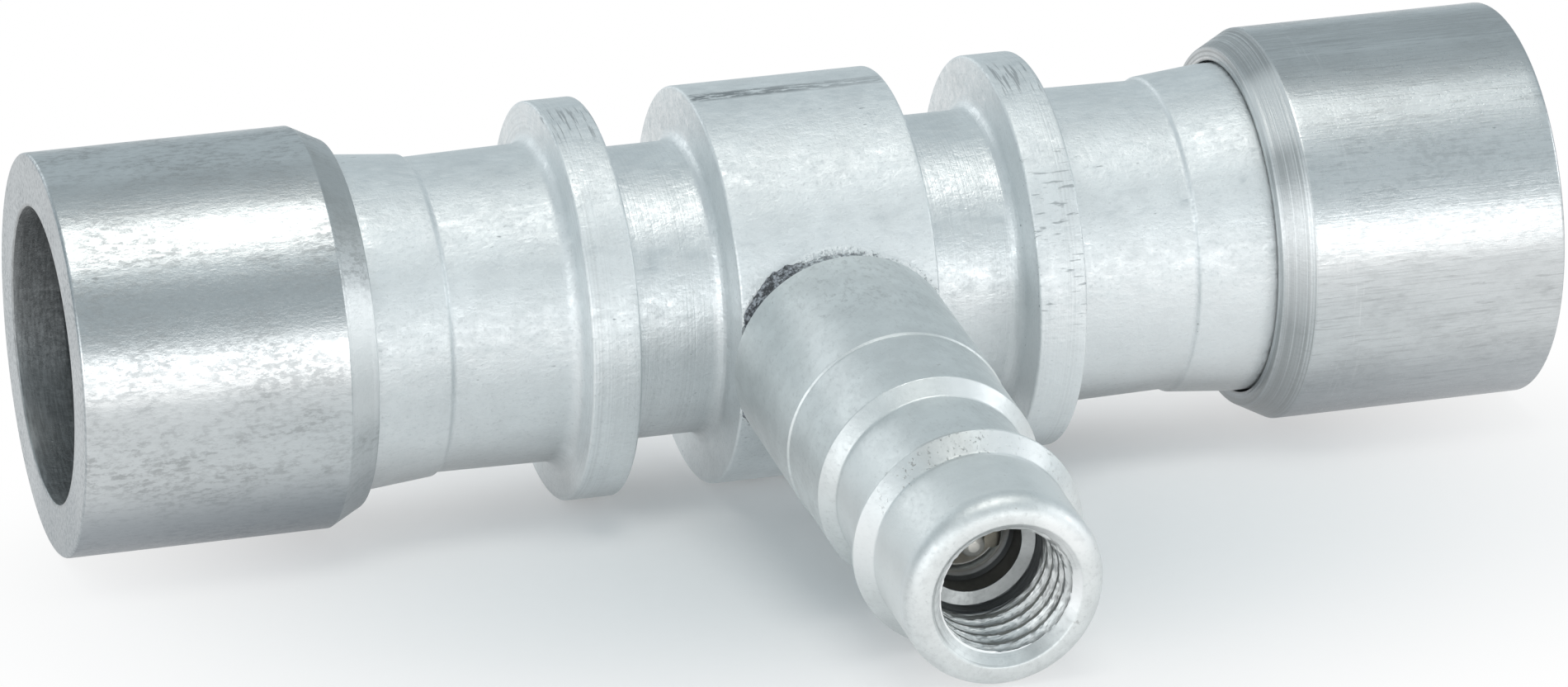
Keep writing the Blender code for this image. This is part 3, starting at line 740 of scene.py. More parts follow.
class Finish:
    """The node tree of one finish, with short calls for the nodes that its patterns are made of."""

    def __init__(self, name, colour, roughness, metallic):
        self.colour = tuple(colour)
        self.material = bpy.data.materials.new(name)
        self.material.use_nodes = True
        self.material.diffuse_color = (*colour, 1.0)
        self.tree = self.material.node_tree
        self.shader = self.tree.nodes["Principled BSDF"]
        self.shader.inputs["Base Color"].default_value = (*colour, 1.0)
        self.shader.inputs["Roughness"].default_value = roughness
        self.shader.inputs["Metallic"].default_value = metallic
        self.place = self.add("ShaderNodeTexCoord").outputs["Object"]
        axes = self.add("ShaderNodeSeparateXYZ", Vector=self.place).outputs
        self.x, self.y, self.z = axes[0], axes[1], axes[2]
        self.radius = self.length(self.stretch((1.0, 1.0, 0.0)))

    def add(self, kind, settings=None, numbered=None, **inputs):
        """A node with its settings, and its inputs by number or by name."""
        node = self.tree.nodes.new(kind)
        for name, value in (settings or {}).items():
            setattr(node, name, value)
        named = {name.replace("_", " "): value for name, value in inputs.items()}
        for key, value in {**(numbered or {}), **named}.items():
            if isinstance(value, bpy.types.NodeSocket):
                self.tree.links.new(value, node.inputs[key])
            else:
                node.inputs[key].default_value = value
        return node

    def set(self, name, socket):
        self.tree.links.new(socket, self.shader.inputs[name])

    def math(self, operation, *values, clamp=False):
        settings = {"operation": operation, "use_clamp": clamp}
        return self.add("ShaderNodeMath", settings, dict(enumerate(values))).outputs[0]

    def chain(self, operation, values):
        result, *others = values
        for value in others:
            result = self.math(operation, result, value)
        return result

    def times(self, *values):
        return self.chain("MULTIPLY", values)

    def most(self, *values):
        return self.chain("MAXIMUM", values)

    def line(self, value, slope, start, clamp=False):
        """start plus the value times the slope."""
        return self.math("MULTIPLY_ADD", value, slope, start, clamp=clamp)

    def level(self, start, *parts):
        """start plus each pattern times its weight, held between 0 and 1."""
        for number, (pattern, weight) in enumerate(parts, 1):
            start = self.line(pattern, weight, start, clamp=number == len(parts))
        return start

    def vector(self, operation, *values):
        settings = {"operation": operation}
        return self.add("ShaderNodeVectorMath", settings, dict(enumerate(values))).outputs

    def length(self, place):
        return self.vector("LENGTH", place)["Value"]

    def stretch(self, scale):
        return self.vector("MULTIPLY", self.place, scale)[0]

    def noise(self, scale, detail=2.0, roughness=0.5):
        """Noise in patches of 1 / scale, which is one number or a pair: across and along."""
        across, along = scale if isinstance(scale, tuple) else (scale, scale)
        return self.add(
            "ShaderNodeTexNoise", Vector=self.stretch((across, across, along)),
            Scale=1.0, Detail=detail, Roughness=roughness,
        ).outputs[0]

    def turning(self, pitch, drift=60.0):
        """Fine lines left by turning: round the piece on its sides, and in rings on its faces."""
        fine = self.times(self.math("ADD", self.radius, self.z), 1.0 / pitch)
        lines = self.add("ShaderNodeCombineXYZ", None, {0: fine}).outputs[0]
        place = self.vector("ADD", lines, self.stretch((drift, drift, 0.0)))[0]
        return self.add(
            "ShaderNodeTexNoise", Vector=place, Scale=1.0, Detail=2.0, Roughness=0.6,
        ).outputs[0]

    def step(self, value, low, high, first=0.0, last=1.0):
        """first below low, last above high, and a smooth change between them."""
        return self.add(
            "ShaderNodeMapRange", {"interpolation_type": "SMOOTHSTEP"},
            Value=value, From_Min=low, From_Max=high, To_Min=first, To_Max=last,
        ).outputs[0]

    def past(self, value, place, start, end, first=0.0, last=1.0):
        """A step near a place on the piece; its start and end are millimetres from there."""
        return self.step(value, place + start * MM, place + end * MM, first, last)

    def between(self, value, low, high, soft):
        """1 between two values of a socket, and 0 outside, with soft ends."""
        rise = self.step(value, low - soft, low)
        return self.times(rise, self.step(value, high, high + soft, 1.0, 0.0))

    def sector(self, degrees, width):
        """1 at an angle round the axis from local X, fading out at a width to each side."""
        full_width = 0.3 * width
        along, across = cos(radians(degrees)), sin(radians(degrees))
        toward = self.line(self.x, along, self.times(self.y, across))
        cosine = self.math("DIVIDE", toward, self.radius)
        return self.step(cosine, cos(radians(width)), cos(radians(full_width)))

    def facing(self, degrees, width):
        """The sector of the run's side that faces an angle above the front."""
        return self.sector(270.0 - degrees, width)

    def blend(self, factor, one, other):
        """Colour one where the factor is 0, other where it is 1.

        A number stands for the colour of the finish, scaled by it.
        """
        inputs = {0: factor}
        for key, end in ((6, one), (7, other)):
            if isinstance(end, float):
                end = scaled(self.colour, end)
            inputs[key] = (*end, 1.0) if isinstance(end, tuple) else end
        return self.add("ShaderNodeMix", {"data_type": "RGBA"}, inputs).outputs[2]

    def coat(self, colour, *coats):
        """Sets the colour with coats over it, each a pair of a factor and a colour."""
        for factor, over in coats:
            colour = self.blend(factor, colour, over)
        self.set("Base Color", colour)

    def bump(self, *heights):
        """Bumps from pairs of a height pattern and its depth in millimetres."""
        normal = None
        for pattern, depth in heights:
            inputs = {"Height": pattern, "Strength": 1.0, "Distance": depth * MM}
            if normal:
                inputs["Normal"] = normal
            normal = self.add("ShaderNodeBump", None, inputs).outputs["Normal"]
        self.set("Normal", normal)


def satin_aluminium(looks, run, port):
    """The body: pale, finely blasted and speckled, smoother in its necks, smudged and nicked, with
    painted shade on its undersides and a painted light band low on the right.
    """
    f = Finish("satin_aluminium", looks.satin, looks.satin_roughness, 1.0)
    clouds = f.noise(420.0, 4.0, 0.6)
    grain = f.noise((5200.0, 3800.0), 3.0, 0.7)
    crumbs = f.noise(5200.0, 3.0, 0.7)
    blotches = f.noise((1500.0, 1100.0), 4.0, 0.7)
    smears = f.noise((2900.0, 900.0), 3.0, 0.65)
    lines = f.turning(0.14 * MM)
    reach = f.math("ABSOLUTE", f.z)
    right = f.past(f.z, 0.0, 0.0, 1.0)
    rim = f.past(f.radius, run.outer_radius, -0.3, -0.1)
    collar = f.past(reach, run.collar_face, -0.3, 0.0, 1.0, 0.0)
    neck = f.between(reach, run.collar_face + 0.3 * MM, run.flange_inner - 0.3 * MM, 0.4 * MM)
    flange = f.between(reach, run.flange_inner, run.flange_outer, 0.1 * MM)

    # Nicks all over, a streak on top of the collar, smudges and scrapes on the flanges.
    nick = f.times(
        f.step(f.noise((3300.0, 1100.0), 2.0), 0.72, 0.79),
        f.step(clouds, 0.48, 0.58, 0.0, 0.7),
    )
    streak = f.times(
        f.facing(84.0, 3.6), collar, rim, f.past(f.z, 0.0, -3.0, 5.0, 0.95, 0.45),
        f.step(f.noise((3600.0, 800.0), 4.0, 0.65), 0.40, 0.54),
    )
    smudge = f.times(
        f.facing(77.0, 12.0), flange, rim,
        f.step(f.noise((420.0, 8200.0), 2.0), 0.54, 0.62, 0.0, 0.6),
    )
    scrape = f.times(
        f.facing(20.0, 34.0), flange, rim, right,
        f.step(f.noise((5200.0, 800.0), 2.0), 0.60, 0.68, 0.0, 0.6),
    )

    # Crumbs of braze on the collar, round the foot of the port, and dark gaps between them.
    toward = (RUN_PLACE.inverted() @ PORT_PLACE).col[2]
    along = f.line(f.x, toward.x, f.times(f.y, toward.y))
    away = f.line(f.z, f.z, f.times(f.radius, f.radius))
    away = f.math("SQRT", f.math("SUBTRACT", away, f.times(along, along)))
    away = f.line(f.step(f.math("DIVIDE", reach, away), 0.45, 0.85), -0.6 * MM, away)
    seam = f.times(
        f.past(away, port.base_radius, -0.55, -0.25, 1.0, 0.0), f.past(along, 0.0, 0.0, 1.0), rim,
    )
    crack = f.times(
        seam, f.past(away, port.base_radius, -0.8, -0.6, 0.75, 0.0),
        f.step(crumbs, 0.50, 0.58, 1.0, 0.0),
    )
    pores = f.times(seam, f.step(crumbs, 0.36, 0.44, 0.75, 0.0))
    dirt = f.most(nick, scrape, streak, smudge, crack, pores)

    outer = f.past(reach, run.flange_outer, -1.6, -0.8, 0.25, 1.0)
    turned = f.most(f.times(flange, outer), f.times(neck, 0.5))
    # Weights for the painted shade on the undersides of the sleeves and beside the collar.
    sleeve = f.past(reach, run.flange_outer, 0.0, 1.0, 0.0, 0.4)
    collar_side_shade_weight = f.past(reach, run.collar_face, 0.0, 0.5, 0.0, 0.25)
    f.coat(
        f.blend(f.step(clouds, 0.34, 0.68), 0.94, 1.0),
        (f.step(grain, 0.54, 0.76, 0.0, 0.55), 0.76),
        (f.times(f.step(lines, 0.46, 0.66, 0.0, 0.3), turned), 0.72),
        (f.times(seam, f.step(crumbs, 0.48, 0.6, 0.0, 0.7)), (0.96, 0.975, 0.98)),
        # Painted shade: the undersides of the sleeves and of the body beside the collar are
        # darkened.
        (f.times(f.facing(-74.0, 44.0), sleeve), 0.5),
        (f.times(f.facing(-80.0, 34.0), collar_side_shade_weight), 0.3),
        # Painted light: a lighter band low at the front of the right half.
        (f.times(f.facing(-26.0, 30.0), right, 0.5), (0.95, 0.97, 0.975)),
        (dirt, (0.31, 0.335, 0.35)),
    )
    f.set("Roughness", f.level(
        looks.satin_roughness - 0.62,
        (grain, 0.40), (blotches, 0.44), (smears, 0.40), (neck, -0.10), (dirt, 0.15),
    ))
    f.bump(
        (grain, 0.016), (f.times(lines, f.line(f.most(flange, neck), 0.8, 0.2)), 0.018),
        (blotches, 0.042), (smears, 0.016), (f.times(seam, crumbs), 0.10),
    )
    return f.material


def drawn_aluminium(looks, run):
    """The rings: bare drawn tube, pitted and scuffed on the left and streaked on the right, with
    painted light and shade in bands along them.
    """
    f = Finish("drawn_aluminium", looks.drawn, looks.drawn_roughness, 1.0)
    patches = f.noise((300.0, 160.0), 4.0, 0.65)
    dashes = f.noise((3600.0, 1600.0), 4.0, 0.72)
    streaks = f.noise((9000.0, 240.0), 3.0, 0.7)
    pits = f.noise((7500.0, 5200.0), 2.0, 0.6)
    tooling = f.noise((900.0, 7600.0), 3.0, 0.7)
    right = f.past(f.z, 0.0, -1.0, 1.0)
    left = f.math("SUBTRACT", 1.0, right)
    reach = f.math("ABSOLUTE", f.z)
    cone = f.times(
        f.past(f.radius, run.ring_chamber, 0.15, 0.25),
        f.past(reach, run.ring_tip + run.ring_cone, -0.1, 0.0, 1.0, 0.0),
    )
    # Painted shade: the inner edge of a ring's tip, where it stands over the sleeve, is darkened.
    tip = f.times(
        f.past(f.radius, run.ring_chamber, 0.06, 0.16, 0.8, 0.0),
        f.past(reach, run.ring_tip, 0.06, 0.16, 1.0, 0.0),
    )
    # Painted shade: the outer end faces of the rings are darker and bluer, broken by dashes.
    face = f.past(reach, run.ring_tip + run.ring_length, -0.12, -0.05, 0.0, 0.75)
    inside = f.past(f.radius, run.ring_bore, 0.05, 0.25, 1.0, 0.0)

    # Wear, and the marks of drawing and turning.
    scuffs = f.most(
        f.times(f.step(patches, 0.34, 0.66), f.step(dashes, 0.44, 0.61)),
        f.step(dashes, 0.49, 0.65, 0.0, 0.45),
    )
    # Painted highlight: the bands where the highlights fall. The wear is thinned there, so they
    # stay lighter.
    painted_highlight = f.most(f.facing(57.0, 20.0), f.facing(9.0, 22.0))
    wear_less_at_highlights = f.times(scuffs, f.line(left, 0.65, 0.35), f.line(painted_highlight, -0.25, 1.0))
    drawn_lines = f.times(f.step(streaks, 0.50, 0.70), f.line(right, 0.36, 0.14))
    grooves = f.times(f.step(f.noise((4400.0, 380.0), 4.0, 0.7), 0.54, 0.68, 0.0, 0.5), right)
    nicks = f.step(f.noise((2300.0, 900.0), 2.0), 0.75, 0.81, 0.0, 0.7)
    scratches = f.times(
        f.between(f.z, 29.5 * MM, 30.5 * MM, 0.4 * MM), right,
        f.step(f.noise((420.0, 7200.0), 2.0), 0.56, 0.66, 0.0, 0.22),
    )
    ribs = f.times(f.turning(0.23 * MM, 20.0), cone, f.line(right, 0.8, 0.2))

    # Bands along the rings set by angle: painted light at the highlights, painted shade between and
    # above them and on the undersides, and the upper side of the left cone greyer in patches.
    # Painted light: lighter bands at the highlights and across the middle of the right ring, less
    # where the rings are scuffed.
    clean = f.most(
        f.times(f.facing(9.0, 10.0), f.line(left, 0.25, 0.4)),
        f.times(f.facing(31.0, 17.0), right, 0.4),
        f.times(f.facing(43.0, 5.0), left, 0.3),
    )
    # Painted shade: darker bands between the highlights, just above the upper one, and near the top
    # of the right ring, there broken by its streaks.
    painted_shade_bands = f.most(
        f.times(f.facing(82.0, 13.0), right, f.step(streaks, 0.3, 0.6, 0.2, 0.5)),
        f.times(f.facing(63.0, 11.0), 0.4),
        f.times(f.facing(24.0, 13.0), left, 0.42),
    )
    # Painted shade: darker towards the underside of the rings, more on the left one.
    low = f.times(f.facing(-72.0, 52.0), f.line(left, 0.35, 0.62))
    grey = f.times(f.facing(60.0, 30.0), left, cone, f.step(patches, 0.36, 0.6, 0.2, 0.5))
    # Painted highlight: lighter bands on the cones, low at the front and stronger on the left ring,
    # and near the top of the right cone.
    bright = f.most(
        f.times(f.facing(6.0, 26.0), f.line(left, 0.45, 0.3)),
        f.times(f.facing(54.0, 18.0), right, 0.6),
    )
    f.coat(
        f.blend(f.step(patches, 0.4, 0.65), 1.0, 0.90),
        # Wear, thinned at the painted highlights.
        (wear_less_at_highlights, 0.63),
        (drawn_lines, 0.66),
        (grooves, 0.58),
        # Painted light at the highlight bands.
        (f.times(clean, f.step(scuffs, 0.0, 0.5, 1.0, 0.45)), (0.91, 0.92, 0.92)),
        (nicks, 0.45),
        (scratches, (0.90, 0.91, 0.92)),
        # Painted shade bands.
        (painted_shade_bands, 0.55),
        # Painted shade on the undersides, darkest at the bottom.
        (low, (0.29, 0.32, 0.345)),
        (f.times(f.facing(-80.0, 34.0), 0.5), (0.17, 0.195, 0.215)),
        (grey, (0.30, 0.305, 0.29)),
        (f.times(cone, 0.4), 0.78),
        (f.step(ribs, 0.40, 0.56, 0.0, 0.75), 0.52),
        # Painted highlight on the cones.
        (f.times(bright, cone), (0.97, 0.98, 0.98)),
        # Painted shade at the inner edge of the tips.
        (tip, 0.35),
        # Painted shade on the outer end faces.
        (face, f.blend(f.step(dashes, 0.4, 0.62), (0.41, 0.45, 0.47), (0.30, 0.335, 0.355))),
        (inside, f.blend(f.step(tooling, 0.3, 0.7), 0.46, 0.72)),
    )
    f.set("Roughness", f.level(
        looks.drawn_roughness - 0.11,
        (pits, 0.22), (wear_less_at_highlights, 0.14), (right, -0.02), (cone, 0.12), (inside, 0.12),
    ))
    f.bump(
        (f.times(dashes, f.line(left, 0.6, 0.4)), 0.018), (f.times(streaks, right), 0.009),
        (pits, 0.006), (ribs, 0.03),
    )
    return f.material


def port_aluminium(looks, port):
    """The service port: turned, a little green-grey and mottled, with painted highlights outside
    and painted shade in its mouth.
    """
    f = Finish("port_aluminium", looks.port, looks.port_roughness, 1.0)
    clouds = f.noise(520.0, 4.0, 0.65)
    grain = f.noise((4200.0, 2600.0), 3.0, 0.65)
    torn = f.noise((600.0, 5600.0), 3.0, 0.6)
    cone = f.between(f.z, port.body_end, port.neck_start, 0.1 * MM)
    lip = f.between(f.z, port.lip_front - 0.1 * MM, port.nose_start + 0.2 * MM, 0.15 * MM)
    sides = f.between(f.z, port.neck_start + 0.4 * MM, port.front - 1.0 * MM, 0.4 * MM)
    nose = f.between(f.z, port.nose_start + 0.3 * MM, port.front - 1.5 * MM, 0.3 * MM)

    # Stains, with painted shade on the lip, nicks at the lip, scuffs on the base, and painted
    # highlights.
    nicks = f.times(
        f.step(f.noise((4700.0, 3300.0), 3.0, 0.6), 0.61, 0.68, 0.0, 0.75),
        lip, f.sector(95.0, 75.0),
    )
    stain_and_shade = f.most(
        f.times(f.step(f.noise(1700.0, 2.0), 0.70, 0.77), f.step(clouds, 0.50, 0.62, 0.0, 0.5)),
        nicks,
        # A darker patch on the lip near the top: a stain, with painted shade that dims the
        # highlight there.
        f.times(f.sector(106.0, 17.0), lip, 0.3),
    )
    scuff = f.times(
        f.sector(93.0, 48.0), f.between(f.z, 12.5 * MM, 17.0 * MM, 3.0 * MM),
        f.step(f.noise((2600.0, 1900.0), 5.0, 0.72), 0.50, 0.66, 0.0, 0.5),
    )
    # Painted highlight: lighter on the upper right of the cones and the lip, on the right of the
    # nose, and on the left side.
    painted_highlight = f.most(
        f.times(f.math("ADD", cone, lip), f.sector(66.0, 24.0), 0.9),
        f.times(f.sector(46.0, 30.0), f.past(f.z, port.nose_start, 0.0, 0.3), 0.6),
        f.times(sides, f.sector(167.0, 38.0), 0.55),
    )
    mottle = f.times(
        f.step(f.noise(1900.0, 4.0, 0.7), 0.46, 0.66, 0.0, 0.17),
        f.past(f.z, port.front, -1.2, -0.6),
    )

    # The mouth, from its chamfer over the thread and the ledge down to the bore of the core.
    in_mouth = f.past(f.radius, port.mouth_radius, -0.1, 0.0, 1.0, 0.0)
    below_chamfer = f.times(f.past(f.z, port.cap_start, -0.1, 0.1, 1.0, 0.0), in_mouth)
    chamfer = f.times(f.past(f.z, port.cap_start, 0.02, 0.1), in_mouth)
    tooled = f.times(
        f.past(f.z, port.cap_start, 0.0, 0.06), in_mouth,
        f.step(f.noise((160.0, 9500.0), 3.0, 0.6), 0.52, 0.66, 0.0, 0.45),
    )
    # Painted highlight: a thin bright line at the edge between the chamfer and the first turn of
    # the thread.
    painted_edge_highlight = f.times(
        f.between(f.radius, port.cap_radius - 0.04 * MM, port.cap_radius + 0.09 * MM, 0.03 * MM),
        f.between(f.z, port.cap_start - 0.02 * MM, port.cap_start + 0.08 * MM, 0.03 * MM),
    )
    wall = f.past(f.radius, port.cap_radius, -0.06, -0.02)
    thread = f.times(below_chamfer, wall)
    # Painted shade in the roots of the thread, with torn patches from cutting.
    root = f.most(
        f.step(f.radius, port.cap_radius + 0.1 * MM, port.cap_radius + port.thread_depth),
        f.step(torn, 0.52, 0.66, 0.0, 0.6),
    )
    under_thread = f.past(f.z, port.thread_end, 0.2, 0.4, 1.0, 0.0)
    # Painted shade: the ledge under the thread is darkened, most toward the lower right.
    ledge = f.times(
        f.past(f.radius, port.entry_radius, 0.0, 0.04), under_thread, below_chamfer,
        f.step(f.sector(305.0, 55.0), 0.0, 1.0, 0.15, 0.6),
    )
    # Painted shade: the wall of the entry above the core and the bore under the thread are
    # darkened.
    painted_bore_shade = f.most(
        f.times(
            f.past(f.radius, port.entry_radius, 0.0, 0.04, 1.0, 0.0),
            f.past(f.z, port.entry_end, -0.24, -0.18),
        ),
        f.times(wall, under_thread, f.past(f.radius, port.cap_radius, 0.05, 0.1, 1.0, 0.0)),
    )
    # Painted highlight: the rim where the entry cone meets the bore of the core is lightened.
    painted_core_rim_highlight = f.times(
        f.between(f.z, port.core_start - 0.1 * MM, port.entry_end - 0.26 * MM, 0.06 * MM),
        f.step(f.radius, port.core_radius + 0.25 * MM, port.entry_radius - 0.04 * MM, 1.0, 0.0),
    )
    f.coat(
        f.blend(f.step(clouds, 0.32, 0.68), 0.90, 1.0),
        (f.step(grain, 0.52, 0.74, 0.0, 0.5), 0.78),
        # Stains, partly painted shade.
        (stain_and_shade, (0.37, 0.375, 0.365)),
        (scuff, 0.62),
        # Painted highlights.
        (painted_highlight, (0.965, 0.98, 0.98)),
        (f.times(nose, 0.3), (0.93, 0.94, 0.925)),
        (mottle, 0.66),
        # Painted shade in the thread roots, with torn patches.
        (f.times(thread, root), 0.30),
        (tooled, 0.5),
        # Painted shade on the chamfer of the mouth toward the lower right, and a painted highlight
        # on its right side.
        (f.times(chamfer, f.sector(312.0, 34.0), 0.5), 0.42),
        (f.times(chamfer, f.sector(356.0, 26.0), 0.7), (0.96, 0.975, 0.98)),
        # Painted highlight at the edge of the thread.
        (painted_edge_highlight, (0.96, 0.97, 0.97)),
        # Painted shade on the ledge.
        (ledge, 0.25),
        # Painted shade deep in the mouth.
        (painted_bore_shade, (0.22, 0.23, 0.24)),
        # Painted highlight on the rim of the core's bore.
        (painted_core_rim_highlight, (0.97, 0.975, 0.975)),
    )
    f.set("Roughness", f.level(
        looks.port_roughness - 0.15,
        (grain, 0.3), (f.past(f.z, port.front, -2.0, -1.0), 0.03), (stain_and_shade, 0.15),
    ))
    f.bump(
        (f.turning(0.12 * MM, 30.0), 0.004), (grain, 0.010), (f.noise(1000.0, 2.0), 0.016),
        (f.times(torn, thread), 0.12), (nicks, -0.03),
    )
    return f.material


def braze_filler(looks):
    """The braze: bare and grey with a crust, and dark at the upper left and the lower left of the
    joint.
    """
    f = Finish("braze_filler", looks.braze, 0.55, 0.85)
    crust = f.noise(3400.0, 4.0, 0.7)
    patches = f.noise(700.0, 2.0)
    upper_left = f.math("SUBTRACT", f.times(f.y, 0.62), f.times(f.x, 0.78))
    lower_left = f.line(f.y, -0.57, f.times(f.x, -0.82))
    # Darker at the upper left and the lower left of the joint.
    burnt = f.most(
        f.past(f.line(patches, 1.2 * MM, upper_left), 0.0, 5.4, 6.0),
        f.past(lower_left, 0.0, 5.6, 6.0),
    )
    flux = looks.flux
    f.coat(
        f.blend(f.step(crust, 0.36, 0.66), tuple(flux), 1.0),
        (burnt, f.blend(f.step(crust, 0.42, 0.64), scaled(flux, 0.5), scaled(flux, 2.6))),
    )
    f.set("Roughness", f.step(burnt, 0.0, 1.0, 0.45, 0.65))
    f.bump((crust, 0.08), (patches, 0.05))
    return f.material


def plated(name, colour, roughness, metallic=1.0, edge=None):
    """A small piece of the core: fine lines, slight stains, specks and, if given, a bright edge."""
    f = Finish(name, colour, roughness, metallic)
    clouds = f.noise(1400.0, 3.0)
    grain = f.noise(9000.0, 2.0)
    coats = [(f.step(grain, 0.6, 0.8, 0.0, 0.4), 0.6)]
    if edge:
        coats.append((f.past(f.radius, edge, -0.12, 0.0), (0.95, 0.94, 0.91)))
    f.coat(f.blend(f.step(clouds, 0.35, 0.7), 0.82, 1.0), *coats)
    f.set("Roughness", f.level(roughness - 0.08, (clouds, 0.16)))
    f.bump((f.turning(0.07 * MM, 200.0), 0.003), (grain, 0.003))
    return f.material


def floor_finish(stage):
    """A pale floor that keeps the shadow near the object and is plain white further out."""
    shadow_length, shadow_width = 0.070, 0.052
    f = Finish("floor_paper", stage.floor, 0.9, 0.0)
    f.shader.inputs["Specular IOR Level"].default_value = 0.1
    f.coat(0.985, (f.noise(900.0, 3.0), 1.0))
    away = f.length(f.stretch((1.0 / shadow_length, 1.0 / shadow_width, 0.0)))
    path = f.add("ShaderNodeLightPath").outputs
    kinds = ("Is Camera Ray", "Is Glossy Ray", "Is Transmission Ray")
    far = f.times(f.step(away, 0.1, 0.82), f.most(*(path[kind] for kind in kinds)))
    white = f.add("ShaderNodeEmission", Color=(1.0, 1.0, 1.0, 1.0), Strength=1.0)
    shaders = {0: far, 1: f.shader.outputs[0], 2: white.outputs[0]}
    mix = f.add("ShaderNodeMixShader", None, shaders)
    f.tree.links.new(mix.outputs[0], f.tree.nodes["Material Output"].inputs["Surface"])
    return f.material


# Operators


class COUPLING_OT_body(bpy.types.Operator):
    """Make the coupling body with its collar, necks, flanges and sleeves"""

    bl_idname = "coupling.body"
    bl_label = "Coupling Body"

    def execute(self, context):
        scene = context.scene
        run, port = scene.coupling_run, scene.coupling_port
        outline = spaced(rounded(body_outline(run)), 0.45 * MM)
        mesh = turned_mesh("coupling_body_turned", outline, RUN_SEGMENTS)
        hole = [
            (0.0, 0.0),
            (run.cross_bore, 0.0),
            (run.cross_bore, run.spigot_floor),
            (run.spigot_seat, run.spigot_floor),
            (run.spigot_seat, port.shoulder),
            (0.0, port.shoulder),
        ]
        cutter = turned_mesh("port_hole", hole, PORT_SEGMENTS)
        mesh = cut_away(mesh, cutter, RUN_PLACE.inverted() @ PORT_PLACE)
        finish = satin_aluminium(scene.coupling_finish, run, port)
        add_piece(
            "coupling_body_turned", mesh, RUN_PLACE, finish, "satin_aluminium",
            "coupling", "coupling_body",
        )
        return {"FINISHED"}


class COUPLING_OT_rings(bpy.types.Operator):
    """Make the two compression rings, each waiting on its sleeve"""

    bl_idname = "coupling.rings"
    bl_label = "Compression Rings"

    def execute(self, context):
        scene = context.scene
        run = scene.coupling_run
        finish = drawn_aluminium(scene.coupling_finish, run)
        outline = spaced(rounded(ring_outline(run)), 0.5 * MM)
        for side, word in ((-1, "left"), (1, "right")):
            placed = [(radius, side * (run.ring_tip + place)) for radius, place in outline]
            mesh = turned_mesh(f"{word}_ring_turned", placed, RUN_SEGMENTS)
            add_piece(
                f"{word}_ring_turned", mesh, RUN_PLACE, finish, "drawn_aluminium",
                f"{word}_ring", f"{word}_compression_ring",
            )
        return {"FINISHED"}


class COUPLING_OT_service_port(bpy.types.Operator):
    """Make the service port with its cones, lip, nose and threaded mouth"""

    bl_idname = "coupling.service_port"
    bl_label = "Service Port"

    def execute(self, context):
        port = context.scene.coupling_port
        finish = port_aluminium(context.scene.coupling_finish, port)
        add_piece(
            "service_port_turned", port_mesh(port), PORT_PLACE, finish, "port_aluminium",
            "coupling", "service_port",
        )
        return {"FINISHED"}


class COUPLING_OT_braze(bpy.types.Operator):
    """Make the braze that joins the port to the collar"""

    bl_idname = "coupling.braze"
    bl_label = "Braze"

    def execute(self, context):
        scene = context.scene
        mesh = braze_mesh(scene.coupling_run, scene.coupling_port)
        add_piece(
            "braze_bead", mesh, PORT_PLACE, braze_filler(scene.coupling_finish),
            "braze_filler", "coupling", "braze_ring",
        )
        return {"FINISHED"}


class COUPLING_OT_valve_core(bpy.types.Operator):
    """Make the fixed pieces of the valve core: plug, barrel, gasket and spring"""

    bl_idname = "coupling.valve_core"
    bl_label = "Valve Core"

    def execute(self, context):
        scene = context.scene
        port, core, looks = scene.coupling_port, scene.coupling_core, scene.coupling_finish
        brass = plated("core_brass", looks.brass, 0.36, edge=core.plug_radius - 0.1 * MM)
        fluoropolymer = plated("gasket_fluoropolymer", looks.gasket, 0.55, 0.0)
        steel = plated("spring_steel", looks.steel, 0.3)
        add_piece(
            "core_plug_turned", plug_mesh(core), PORT_PLACE, brass, "core_brass",
            "coupling", "core_plug",
        )
        add_core_piece(
            "core_barrel_turned", barrel_outline(core), brass, "core_brass",
            "coupling", "core_barrel",
        )
        add_core_piece(
            "barrel_gasket_moulded", gasket_outline(port, core), fluoropolymer,
            "gasket_fluoropolymer", "coupling", "barrel_gasket",
        )
        spring = add_piece(
            "valve_spring_coil", spring_mesh(core), PORT_PLACE, steel, "spring_steel",
            "coupling", "valve_spring",
        )
        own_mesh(spring)
        return {"FINISHED"}


class COUPLING_OT_valve_pin(bpy.types.Operator):
    """Make the pieces that move when the valve is pressed: pin, poppet cup and poppet seal"""

    bl_idname = "coupling.valve_pin"
    bl_label = "Valve Pin"

    def execute(self, context):
        core, looks = context.scene.coupling_core, context.scene.coupling_finish
        nickel = plated("pin_nickel", looks.nickel, 0.42, 0.75)
        brass = plated("cup_brass", looks.brass, 0.34)
        rubber = plated("seal_rubber", looks.rubber, 0.75, 0.0)
        for name, corners, finish, slot, node in (
            ("valve_pin_turned", pin_outline(core), nickel, "pin_nickel", "valve_pin"),
            ("poppet_cup_pressed", cup_outline(core), brass, "core_brass", "poppet_cup"),
            ("poppet_seal_moulded", seal_outline(core), rubber, "seal_rubber", "poppet_seal"),
        ):
            add_core_piece(name, corners, finish, slot, "valve", node)
        return {"FINISHED"}


